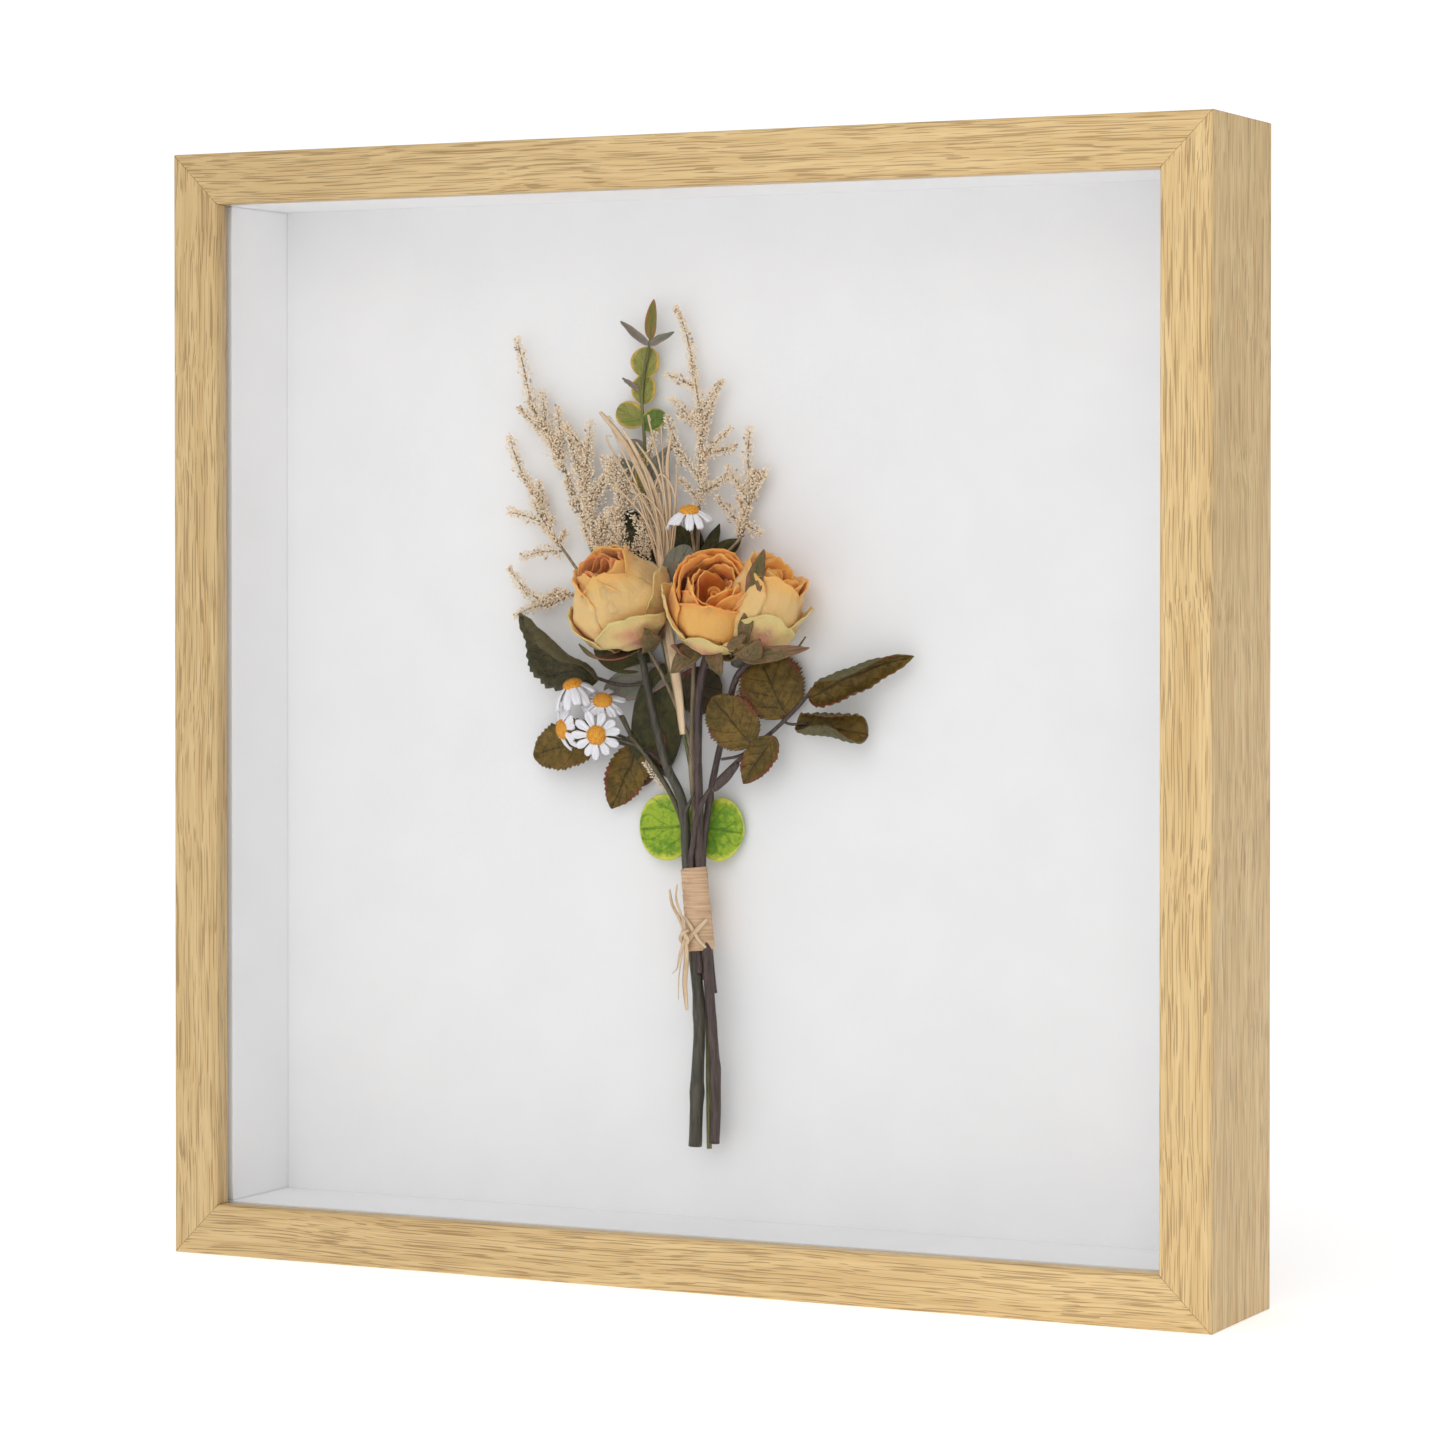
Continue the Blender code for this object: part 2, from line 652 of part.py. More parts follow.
def rose_stem(name):
    """Stem that thickens towards its cut end below the wrap."""
    stem = ROSE_STEMS[name]

    def radius(_share, point):
        below_wrap = min(max((WRAP_LOW[2] - point[2]) / STEM_FLARE, 0.0), 1.0)
        return STEM + (stem["cut_radius"] - STEM) * below_wrap

    return tube(through_wrap(stem["slot"], stem["cut"], stem["onward"]), radius)


def build_rose_stems():
    twig = taper(0.6, 0.45)
    left_leaves = [
        tube(smooth_route([(-14.6, 31.2, 147.6), (-24.0, 35.2, 152.5), (-39.0, 36.2, 157.0)]), twig),
        leaf((-37.0, 36.2, 156.6), (-60.5, 35.4, 149.6), 6.4),
        tube(smooth_route([(-13.0, 31.3, 144.2), (-21.0, 36.4, 147.5), (-27.0, 37.4, 153.0)]), twig),
        leaf((-26.4, 37.4, 152.6), (-36.0, 36.6, 135.3), 6.2),
        tube(smooth_route([(-24.4, 30.7, 178.4), (-33.0, 33.6, 176.0), (-42.0, 34.4, 175.6)]), twig),
        leaf((-40.0, 34.4, 175.4), (-65.2, 33.6, 191.8), 6.6),
    ]
    name_part(unite(rose_stem("left"), left_leaves), "rose_stem_left", "dark_leaf")
    for name in ("centre", "right"):
        name_part(rose_stem(name), f"rose_stem_{name}", "rose_stem")


def build_leaf_spray():
    """Spray of leaves that leaves the bundle at the front and reaches out to the right."""
    spray = tube(through_wrap(wrap_slot(270), [(-4.0, 30.9, 88.0)],
                              [(-5.6, 29.5, 126.0), (-4.4, 28.9, 133.0), (-1.6, 29.2, 140.0),
                               (6.6, 32.2, 149.0), (20.6, 35.2, 161.6), (30.0, 34.6, 170.6)]),
                 taper(0.85, 0.6))
    twig = taper(0.6, 0.45)
    pieces = [
        leaf((28.6, 34.6, 169.8), (60.4, 33.0, 181.1), 4.6),
        tube([(20.0, 35.1, 161.0), (27.0, 34.6, 161.6)], twig),
        leaf((24.4, 34.6, 161.6), (47.0, 33.6, 160.3), 4.9, roundness=1.2),
        tube([(17.6, 34.4, 158.8), (19.6, 37.0, 164.6)], twig),
        leaf((20.6, 37.0, 162.6), (11.4, 37.6, 181.4), 9.6, roundness=1.2),
        tube([(14.4, 33.8, 156.0), (18.6, 33.0, 156.2)], twig),
        leaf((19.0, 33.0, 157.0), (9.3, 32.0, 144.6), 4.0),
        tube([(12.0, 33.6, 154.0), (12.2, 30.4, 156.4)], twig),
        leaf((13.4, 30.3, 155.0), (-1.2, 29.6, 169.4), 7.4, roundness=1.0),
    ]
    name_part(unite(spray, pieces), "leaf_spray_right", "dark_leaf")


EUCALYPTUS_ROUTE = [(-7.6, 36.4, 135.0), (-10.6, 36.5, 152.0), (-16.0, 36.5, 172.0),
                    (-21.0, 36.5, 195.0), (-23.4, 36.4, 214.0), (-24.6, 36.2, 241.0),
                    (-25.4, 36.0, 258.0), (-23.0, 35.8, 274.0)]

# Each leaf of the eucalyptus: base, tip, half width
EUCALYPTUS_LEAVES = [
    ((-7.4, 38.2, 130.6), (-26.2, 38.6, 129.6), 9.3),
    ((-6.6, 38.2, 130.2), (5.8, 38.6, 129.0), 9.0),
    ((-16.8, 38.2, 176.0), (-37.6, 37.8, 170.0), 4.4),
    ((-17.4, 38.4, 177.0), (-22.6, 38.8, 146.0), 8.0),
    ((-15.0, 37.2, 168.0), (-2.4, 38.6, 173.6), 5.6),
    ((-22.6, 36.8, 207.0), (-31.0, 38.2, 221.0), 3.6),
    ((-22.8, 36.8, 206.0), (-6.0, 38.4, 217.5), 3.6),
    ((-24.2, 36.0, 234.6), (-30.6, 34.8, 246.0), 2.4),
    ((-24.2, 36.0, 234.6), (-16.4, 34.8, 243.6), 2.4),
    ((-24.8, 35.9, 246.4), (-33.2, 34.8, 254.2), 4.2),
    ((-24.8, 35.9, 245.4), (-18.4, 34.8, 253.4), 3.8),
    ((-25.4, 35.6, 252.6), (-24.4, 34.8, 264.0), 4.0),
    ((-25.2, 35.6, 260.4), (-23.6, 34.8, 271.4), 4.7),
    ((-23.2, 35.8, 271.6), (-31.6, 35.4, 278.4), 1.5),
    ((-23.2, 35.8, 271.6), (-15.2, 35.4, 275.2), 1.5),
]


def build_eucalyptus():
    """Sprig behind the roses: round leaves in pairs, a pointed bud at the top."""
    route = through_wrap(wrap_slot(90), [(-2.6, 35.4, 36.6), (-3.0, 35.4, 57.0), (-3.6, 35.5, 76.0)],
                         EUCALYPTUS_ROUTE)
    sprig = tube(route, taper(0.8, 0.6))
    pieces = [leaf(base, tip, width, roundness=1.1, thick=1.0)
              for base, tip, width in EUCALYPTUS_LEAVES]
    pieces.append(spike((-23.2, 35.8, 272.0), (-21.8, 35.4, 284.0), 2.2))
    pieces.append(tube([(-7.2, 35.8, 130.4), (-7.2, 38.2, 130.4)], 0.7))
    pieces.append(tube([(-17.2, 36.5, 176.4), (-17.2, 38.6, 176.4)], 0.6))
    name_part(unite(sprig, pieces), "eucalyptus_sprig", "eucalyptus")


# Branches of the statice spray, each from a point on an earlier one out to its tip
STATICE_STEM = [(-7.6, 34.2, 137.0), (-8.6, 34.3, 150.0), (-7.8, 34.4, 172.0), (-7.2, 34.4, 195.0),
                (-6.6, 35.0, 215.0), (-6.2, 35.6, 232.0), (-5.6, 36.0, 250.0)]
STATICE_BRANCHES = [
    [(-8.4, 34.3, 155.0), (-18.0, 34.3, 175.0), (-32.0, 34.4, 196.0), (-42.0, 35.2, 212.0),
     (-46.0, 35.8, 224.0), (-54.0, 36.0, 241.0)],
    [(-28.0, 34.4, 190.0), (-42.0, 34.8, 201.0), (-51.0, 35.4, 211.0), (-58.0, 35.8, 221.0)],
    [(-36.0, 34.6, 196.5), (-48.0, 35.2, 198.0), (-57.0, 35.8, 194.5)],
    [(-7.2, 34.4, 200.0), (1.0, 34.8, 209.0), (7.6, 35.2, 216.0), (10.8, 35.8, 229.0)],
    [(-38.8, 34.8, 206.5), (-40.6, 34.6, 216.0), (-44.0, 34.6, 232.0)],
]

# Flower spikes of the statice spray: base, tip, radius
STATICE_SPIKES = [
    ((-52.0, 36.0, 236.0), (-63.4, 36.0, 256.0), 1.9),
    ((-62.0, 36.0, 253.0), (-67.2, 36.0, 274.0), 1.5),
    ((-57.0, 36.0, 245.0), (-58.4, 35.4, 259.0), 1.6),
    ((-53.0, 36.0, 239.0), (-53.6, 35.4, 254.0), 1.6),
    ((-58.0, 36.0, 246.0), (-67.0, 36.4, 254.0), 1.3),
    ((-56.0, 35.8, 218.0), (-65.0, 36.0, 234.0), 1.8),
    ((-64.4, 36.0, 232.0), (-69.8, 36.0, 245.0), 1.6),
    ((-60.0, 35.8, 224.0), (-59.4, 35.2, 232.0), 1.5),
    ((-57.0, 35.8, 219.0), (-70.2, 35.6, 223.0), 1.6),
    ((-52.0, 35.4, 211.0), (-66.0, 35.6, 209.0), 1.6),
    ((-56.0, 35.8, 195.5), (-64.6, 35.8, 199.0), 1.6),
    ((-63.6, 35.8, 197.6), (-70.2, 35.6, 206.0), 1.4),
    ((-57.0, 35.8, 195.0), (-68.0, 35.6, 191.6), 1.6),
    ((-43.4, 34.6, 229.0), (-49.6, 34.4, 249.0), 1.9),
    ((-43.6, 34.6, 229.0), (-41.6, 34.2, 249.6), 2.0),
    ((-42.4, 34.6, 222.0), (-31.0, 34.0, 239.0), 2.2),
    ((-41.0, 34.6, 214.0), (-27.0, 34.2, 226.0), 2.4),
    ((-43.0, 34.6, 226.0), (-35.0, 34.2, 236.0), 1.8),
    ((-5.8, 36.0, 246.0), (-9.0, 36.0, 266.0), 1.6),
    ((-8.6, 36.0, 263.0), (-14.4, 36.0, 282.4), 1.4),
    ((-6.2, 36.0, 246.0), (-16.2, 36.2, 256.0), 1.3),
    ((-8.4, 36.0, 259.0), (-17.8, 36.2, 263.0), 1.2),
    ((-5.8, 36.0, 245.0), (-0.8, 35.6, 257.0), 1.4),
    ((-6.0, 35.8, 237.0), (4.0, 35.4, 247.0), 1.5),
    ((-6.2, 35.6, 232.0), (-16.0, 35.2, 243.6), 1.4),
    ((10.6, 35.8, 227.0), (10.0, 35.8, 247.0), 1.9),
    ((9.8, 35.6, 224.0), (2.6, 35.2, 236.0), 1.7),
    ((10.2, 35.7, 226.0), (15.4, 35.4, 235.0), 1.4),
    ((8.4, 35.3, 218.0), (-0.6, 35.0, 227.0), 1.6),
    ((8.6, 35.4, 219.0), (14.0, 35.0, 216.0), 1.5),
]


def build_statice():
    """One branching spray with a slender flower spike at the end of every twig."""
    spray = tube(through_wrap(wrap_slot(), [(-3.6, 33.3, 86.0)], STATICE_STEM),
                 taper(0.95, 0.6))
    pieces = [tube(smooth_route(branch), taper(0.75, 0.5), sides=1) for branch in STATICE_BRANCHES]
    pieces += [spike(*item) for item in STATICE_SPIKES]
    pieces.append(tube(smooth_route([(-6.9, 34.8, 207.0), (-6.8, 31.6, 214.6),
                                     daisy_back("top", LEAF_THICK / 2 + GAP)]), 0.5))
    name_part(unite(spray, pieces), "statice_spray", "statice")


# Daisy heads: middle of the petals and the way each one faces
DAISIES = {
    "upper_left": ((-43.8, 26.0, 171.4), (-0.2, -0.45, 0.87)),
    "middle": ((-34.6, 28.6, 166.1), (0.25, -0.75, 0.6)),
    "lower_left": ((-47.0, 25.6, 158.4), (-0.45, -0.86, -0.15)),
    "lower_right": ((-34.2, 22.8, 157.6), (0.35, -0.93, 0.08)),
    "top": ((-5.6, 27.2, 221.8), (0.1, -0.35, 0.93)),
}


def daisy_back(name, distance):
    """Point a distance behind a daisy's petals, on its axis."""
    centre, facing = DAISIES[name]
    return tuple(Vector(centre) - Vector(facing).normalized() * distance)


def build_daisies():
    """Flat ring of petals with a domed centre."""
    outline = []
    steps = DAISY_PETALS * 6
    for i in range(steps):
        angle = 2 * math.pi * i / steps
        notch = abs(math.cos(angle * DAISY_PETALS / 2)) ** 0.7
        radius = DAISY_RADIUS * (1.0 - DAISY_NOTCH * (1.0 - notch))
        outline.append((radius * math.cos(angle), radius * math.sin(angle)))
    for name, (centre, facing) in DAISIES.items():
        matrix = axis_matrix(centre, facing)
        petals = plate([outline], LEAF_THICK, matrix)
        dome = turned([(0.0, DAISY_DOME), (DAISY_CENTRE * 0.6, DAISY_DOME * 0.83),
                       (DAISY_CENTRE, DAISY_DOME * 0.27), (DAISY_CENTRE, -GAP), (0.0, -GAP)],
                      matrix, 16)
        name_part(unite(petals, [dome]), f"daisy_{name}", "daisy")


def build_daisy_stems():
    """One thin stem that branches to the four lower daisies."""
    behind = LEAF_THICK / 2 + GAP
    trunk = tube(through_wrap(wrap_slot(150), [(-5.8, 34.0, 90.0)],
                              [(-10.4, 34.4, 130.0), (-15.4, 34.2, 140.6), (-23.0, 32.6, 151.0),
                               (-29.0, 30.6, 158.0)]), taper(0.9, 0.6))
    ends = {
        "upper_left": [(-28.6, 30.7, 157.4), (-37.0, 30.2, 163.6)],
        "middle": [(-27.6, 31.0, 156.0), (-33.2, 31.6, 161.8)],
        "lower_left": [(-27.0, 31.2, 155.0), (-38.0, 29.9, 159.0)],
        "lower_right": [(-26.0, 31.6, 154.0), (-32.0, 28.8, 156.8)],
    }
    twigs = []
    for name, points in ends.items():
        route = smooth_route([*points, daisy_back(name, 3.0), daisy_back(name, behind)], 2)
        twigs.append(tube(route, taper(0.5, 0.4), sides=1))
    name_part(unite(trunk, twigs), "daisy_stems", "rose_stem")


def build_raffia():
    """Wound sleeve round the stems, and the strands that hang between the roses."""
    low, high = Vector(WRAP_LOW), Vector(WRAP_HIGH)
    length = (high - low).length
    turns = 9
    ridges = []
    for i in range(turns, 0, -1):
        ridges.append((WRAP_OUTER, length * (i - 0.25) / turns))
        ridges.append((WRAP_OUTER - 0.15, length * (i - 0.95) / turns))
    profile = [(WRAP_INNER, length), *ridges, (WRAP_INNER, 0.0)]
    sleeve = turned(profile, axis_matrix(low, high - low), 20, ring=True)
    name_part(sleeve, "raffia_wrap", "raffia")
    strap = plate([leaf_outline(STRAP_LEAF, STRAP_LEAF_HALF_WIDTH, 1.4)], PRESSED_GAP,
                  facing_matrix((-18.4, 35.2, 218.0), (6.4, -4.4, -60.0), (0.25, -1, 0)))
    strands = [tube(smooth_route(points), taper(0.7, 0.4), sides=1) for points in (
        [(-18.4, 34.6, 210.0), (-19.8, 33.2, 224.0), (-25.0, 31.4, 238.0), (-36.0, 30.2, 251.0)],
        [(-17.4, 34.5, 208.0), (-17.6, 32.6, 226.0), (-21.0, 30.6, 237.0), (-26.0, 29.2, 247.0)],
        [(-16.4, 34.4, 206.0), (-14.8, 32.8, 226.0), (-13.6, 31.0, 241.0)],
    )]
    name_part(unite(strap, strands), "raffia_strands", "raffia")


def build_glue_pads():
    """Pads of hot glue between the bouquet and the display board."""
    for name, across, up, front in (("lower", -7.6, 106.0, WRAP_LOW[1] + WRAP_OUTER + GAP),
                                    ("upper", -22.0, 202.0, 36.5 + 1.0 + GAP)):
        rear = BOARD_FRONT - GAP
        pad = cylinder((across, (front + rear) / 2, up), GLUE_RADIUS, rear - front, sides=24)
        name_part(pad, f"glue_pad_{name}", "glue")


def build_bouquet():
    build_rose_stems()
    build_leaf_spray()
    build_eucalyptus()
    build_statice()
    build_daisies()
    build_daisy_stems()
    build_raffia()
    build_roses()
    build_glue_pads()


def build_frame():
    build_rails()
    build_v_nails()
    build_glazing()
    build_liners()
    build_boards()
    build_turn_buttons()
    build_hangers()
    build_bumpers()


clear_scene()
build_frame()
build_bouquet()
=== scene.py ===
"""Shadow-box frame with a bouquet of cloth flowers: finishes, bouquet, light and camera.

The rails, boards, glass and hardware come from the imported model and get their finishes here. The
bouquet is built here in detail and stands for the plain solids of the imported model. Places are
(across, depth, up) in millimetres: across from the middle of the frame, depth from the front face
towards the wall, and up from the underside of the bottom rail.
"""
import math
import random

import bpy
from mathutils import Matrix, Vector, noise


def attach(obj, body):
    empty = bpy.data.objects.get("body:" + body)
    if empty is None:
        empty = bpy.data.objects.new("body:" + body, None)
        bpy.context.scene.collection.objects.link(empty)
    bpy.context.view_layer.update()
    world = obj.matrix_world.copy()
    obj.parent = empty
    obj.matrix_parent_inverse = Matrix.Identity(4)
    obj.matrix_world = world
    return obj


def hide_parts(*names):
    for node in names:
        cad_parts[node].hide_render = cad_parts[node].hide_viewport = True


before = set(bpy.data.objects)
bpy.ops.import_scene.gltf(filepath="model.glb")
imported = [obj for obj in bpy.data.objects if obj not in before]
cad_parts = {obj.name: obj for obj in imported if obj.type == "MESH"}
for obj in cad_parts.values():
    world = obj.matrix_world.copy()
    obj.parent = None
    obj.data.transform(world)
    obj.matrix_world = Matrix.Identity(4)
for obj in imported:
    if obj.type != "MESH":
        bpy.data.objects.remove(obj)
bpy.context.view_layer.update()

MM = 0.001
HALF_SIDE = 165.0
HALF_DEPTH = 26.1
BODY = "frame"
GOLDEN_ANGLE = math.radians(137.508)

# Studio: light from all round, the white seen behind the object, and the floor's own glow
SKY_LIGHT = 0.58
SKY_SEEN = 1.05
FLOOR_GLOW = 0.45
FLOOR_HALF_SIDE = 6.0

# Soft suns: place they shine from, strength, and softness in degrees
SUNS = {"key_light": ((0.5, -2.2, 1.0), 0.44, 50.0),
        "fill_light": ((-0.5, -1.7, 1.7), 0.34, 70.0)}

# Camera, in metres and degrees
CAMERA_PLACE = (0.58246, -1.18247, 0.21287)
CAMERA_TURN = 26.0
CAMERA_DIP = 0.72
CAMERA_LENS = 113.28
CAMERA_SHIFT = -0.0833


# ---------------------------------------------------------------- node helpers

def srgb(red, green, blue):
    """Linear colour of an sRGB triple out of 255."""
    return (*[(v / 255 / 12.92) if v <= 10.31 else ((v / 255 + 0.055) / 1.055) ** 2.4
              for v in (red, green, blue)], 1.0)


class Finish:
    """A material on one Principled shader, built up node by node."""

    def __init__(self, name, roughness=0.5, metallic=0.0, **sockets):
        self.material = bpy.data.materials.new(name)
        self.material.use_nodes = True
        self.tree = self.material.node_tree
        self.shader = self.tree.nodes["Principled BSDF"]
        self.set("Roughness", roughness)
        self.set("Metallic", metallic)
        for socket, value in sockets.items():
            self.set(socket.replace("_", " "), value)

    def set(self, socket, value):
        self.feed(self.shader.inputs[socket], value)

    def feed(self, socket, value):
        if isinstance(value, bpy.types.NodeSocket):
            self.tree.links.new(value, socket)
        else:
            socket.default_value = value

    def node(self, kind, inputs=None, **settings):
        made = self.tree.nodes.new(f"ShaderNode{kind}")
        for key, value in settings.items():
            setattr(made, key, value)
        for socket, value in (inputs or {}).items():
            self.feed(made.inputs[socket], value)
        return made

    def math(self, operation, a, b=0.0, c=0.0):
        return self.node("Math", {0: a, 1: b, 2: c}, operation=operation).outputs[0]

    def object_place(self):
        return self.node("TexCoord").outputs["Object"]

    def uv(self):
        split = self.node("SeparateXYZ", {0: self.node("TexCoord").outputs["UV"]})
        return split.outputs[0], split.outputs[1]

    def scaled(self, vector, scale):
        return self.node("VectorMath", {0: vector, 1: scale}, operation="MULTIPLY").outputs[0]

    def combine(self, x, y, z=0.0):
        return self.node("CombineXYZ", {0: x, 1: y, 2: z}).outputs[0]

    def noise(self, vector, scale, detail=2.0, roughness=0.5):
        return self.node("TexNoise", {"Vector": vector, "Scale": scale, "Detail": detail,
                                      "Roughness": roughness}).outputs["Fac"]

    def step(self, value, low, high, bottom=0.0, top=1.0):
        """Smooth step of a value from bottom at low to top at high."""
        made = self.node("MapRange", {"Value": value, "From Min": low, "From Max": high,
                                      "To Min": bottom, "To Max": top},
                         interpolation_type="SMOOTHSTEP")
        return made.outputs[0]

    def mix(self, share, a, b):
        made = self.node("Mix", data_type="RGBA")
        self.feed(made.inputs[0], share)
        self.feed(made.inputs[6], a)
        self.feed(made.inputs[7], b)
        return made.outputs[2]

    def bump(self, height, distance, strength=1.0):
        """Relief of this height, with its distance in millimetres."""
        made = self.node("Bump", {"Height": height, "Strength": strength, "Distance": distance * MM})
        self.set("Normal", made.outputs[0])


# ---------------------------------------------------------------- finishes of the frame

OAK_LIGHT = srgb(232, 201, 145)
OAK_MIDDLE = srgb(221, 188, 131)
OAK_DARK = srgb(198, 161, 106)
OAK_PORE = srgb(128, 90, 48)

# Shade painted into the oak to follow the light in the photograph, in metres across: full tone at
# the right end of the first range and OAK_SHADE of it at the left end, and OAK_SIDE_SHADE of it
# on the outer right face. 1.0 for both leaves the oak even.
OAK_SHADE = 0.83
OAK_SHADE_RANGE = (-0.17, 0.16)
OAK_SIDE_SHADE = 0.91
OAK_SIDE_RANGE = (0.1640, 0.1648)


def oak_finish(name, along):
    """Veneer whose grain runs along X (0) or Z (2), with the painted shade described above."""
    f = Finish(name, 0.42)
    split = f.node("SeparateXYZ", {0: f.object_place()})
    run, across, deep = split.outputs[along], split.outputs[2 - along], split.outputs[1]
    sway = f.noise(f.combine(f.math("MULTIPLY", run, 14.0), f.math("MULTIPLY", across, 20.0),
                             f.math("MULTIPLY", deep, 20.0)), 1.0, 1.0)
    lean = f.math("MULTIPLY", sway, 0.005)
    grain = f.combine(run, f.math("ADD", across, lean), f.math("ADD", deep, lean))
    bands = f.noise(f.scaled(grain, (10.0, 260.0, 260.0)), 1.0, 2.0)
    fibres = f.noise(f.scaled(grain, (30.0, 1500.0, 1500.0)), 1.0, 3.0, 0.6)
    pores = f.noise(f.scaled(grain, (58.0, 2900.0, 2900.0)), 1.0, 0.0)
    clusters = f.noise(f.scaled(grain, (22.0, 260.0, 260.0)), 1.0, 2.0)
    pore = f.step(f.math("ADD", pores, f.math("MULTIPLY", clusters, 0.30)), 0.74, 0.80)
    colour = f.mix(f.step(bands, 0.36, 0.66), OAK_LIGHT, OAK_MIDDLE)
    colour = f.mix(f.step(fibres, 0.42, 0.70, 0.0, 0.60), colour, OAK_DARK)
    colour = f.mix(f.math("MULTIPLY", pore, 0.50), colour, OAK_PORE)
    tone = f.math("MULTIPLY", f.step(split.outputs[0], *OAK_SHADE_RANGE, OAK_SHADE, 1.0),
                  f.step(split.outputs[0], *OAK_SIDE_RANGE, 1.0, OAK_SIDE_SHADE))
    f.set("Base Color", f.scaled(colour, f.combine(tone, tone, tone)))
    f.set("Roughness", f.step(fibres, 0.3, 0.7, 0.40, 0.55))
    f.bump(f.math("SUBTRACT", f.math("MULTIPLY", fibres, 0.5), pore), 0.10, 0.6)
    return f.material


def board_finish(name, colour, grain=0.35):
    """Matt white card, with the faint mottle of its paper."""
    f = Finish(name, 0.72)
    where = f.object_place()
    fine = f.noise(where, 2600.0, 3.0, 0.6)
    broad = f.noise(where, 45.0, 2.0)
    shade = f.math("ADD", f.math("MULTIPLY", fine, 0.6), f.math("MULTIPLY", broad, 0.4))
    darker = (*[v * 0.955 for v in colour[:3]], 1.0)
    f.set("Base Color", f.mix(f.step(shade, 0.3, 0.7), colour, darker))
    f.set("Roughness", f.step(fine, 0.3, 0.7, 0.66, 0.80))
    f.bump(fine, 0.05, grain)
    return f.material


def hardboard_finish():
    f = Finish("hardboard", 0.7)
    where = f.object_place()
    fibre = f.noise(where, 900.0, 4.0, 0.65)
    fleck = f.noise(f.scaled(where, (1.0, 1.0, 1.6)), 330.0, 2.0)
    colour = f.mix(f.step(fibre, 0.3, 0.7), srgb(128, 92, 62), srgb(160, 121, 84))
    colour = f.mix(f.step(fleck, 0.58, 0.72, 0.0, 0.6), colour, srgb(88, 60, 40))
    f.set("Base Color", colour)
    f.set("Roughness", f.step(fibre, 0.3, 0.7, 0.6, 0.85))
    f.bump(fibre, 0.12, 0.6)
    return f.material


def metal_finish(name, bright, dull, scratch_scale):
    """Plated metal with fine scratches and dull patches."""
    f = Finish(name, 0.3, 1.0)
    where = f.object_place()
    scratch = f.noise(f.scaled(where, (1.0, 1.0, 9.0)), scratch_scale, 3.0, 0.6)
    patch = f.noise(where, 260.0, 2.0)
    f.set("Base Color", f.mix(f.step(patch, 0.35, 0.7), bright, dull))
    f.set("Roughness", f.step(f.math("ADD", scratch, patch), 0.7, 1.3, 0.22, 0.46))
    f.bump(scratch, 0.02, 0.5)
    return f.material


def rubber_finish():
    f = Finish("bumper_rubber", 0.8)
    grain = f.noise(f.object_place(), 2200.0, 3.0)
    f.set("Base Color", f.mix(grain, srgb(30, 30, 31), srgb(58, 57, 56)))
    f.set("Roughness", f.step(grain, 0.3, 0.7, 0.7, 0.9))
    f.bump(grain, 0.04, 0.5)
    return f.material


def glass_finish():
    """Clear float glass: nearly all of what is behind shows, and more mirrors at a low angle."""
    f = Finish("clear_glass", 0.02, IOR=1.5)
    f.shader.inputs["Specular IOR Level"].default_value = 1.0
    where = f.object_place()
    film = f.noise(where, 22.0, 4.0, 0.6)
    facing = f.node("LayerWeight", {"Blend": 0.5}).outputs["Facing"]
    low_angle = f.math("POWER", facing, 4.0)
    f.set("Base Color", f.mix(film, srgb(34, 42, 40), srgb(46, 56, 54)))
    f.set("Roughness", f.step(film, 0.35, 0.7, 0.015, 0.05))
    f.set("Alpha", f.math("ADD", f.step(film, 0.3, 0.75, 0.010, 0.018),
                          f.math("MULTIPLY", low_angle, 0.30)))
    f.bump(film, 0.01, 0.1)
    return f.material


def glue_finish():
    f = Finish("hot_glue", 0.3)
    blobs = f.noise(f.object_place(), 500.0, 2.0)
    f.set("Base Color", f.mix(blobs, srgb(226, 221, 203), srgb(206, 198, 172)))
    f.set("Roughness", f.step(blobs, 0.3, 0.7, 0.22, 0.42))
    f.bump(blobs, 0.2, 0.6)
    return f.material


def dress_frame():
    """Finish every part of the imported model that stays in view."""
    across, upright = oak_finish("oak_across", 0), oak_finish("oak_upright", 2)
    card = board_finish("display_card", srgb(243, 243, 244))
    liner = board_finish("liner_card", srgb(251, 251, 252), 0.25)
    zinc = metal_finish("zinc_plate", srgb(196, 194, 188), srgb(150, 148, 143), 900.0)
    brass = metal_finish("brass_plate", srgb(206, 176, 112), srgb(168, 136, 80), 800.0)
    rules = (("rail_bottom", across), ("rail_top", across), ("rail_", upright),
             ("display_board", card), ("liner_", liner), ("back_panel", hardboard_finish()),
             ("glass_pane", glass_finish()), ("turn_button_screw", zinc), ("turn_button_", brass),
             ("hanger_", zinc), ("v_nail_", zinc), ("bumper_", rubber_finish()),
             ("glue_pad_", glue_finish()))
    for name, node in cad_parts.items():
        for start, finish in rules:
            if name.startswith(start):
                for holder in node.material_slots:
                    holder.material = finish
                break


# ---------------------------------------------------------------- paper behind the liners

LINER_OUTER = 154.0
LINER_INNER = 149.8
LINER_DEPTHS = (8.6, 40.1)
BOARD_GAP = (40.21, 40.49)
JOINT_GAP = (149.52, 149.78)


def paper_slab(shape, low, high):
    """Thin slab between two corners, in a few strips so that it can carry a soft ripple."""
    strips = 12
    rows = []
    for i in range(strips + 1):
        x = low[0] + (high[0] - low[0]) * i / strips
        rows.append([Vector((x, low[1], low[2])), Vector((x, high[1], low[2])),
                     Vector((x, high[1], high[2])), Vector((x, low[1], high[2]))])
    shape.surface(rows, 0, closed=True, caps=True)


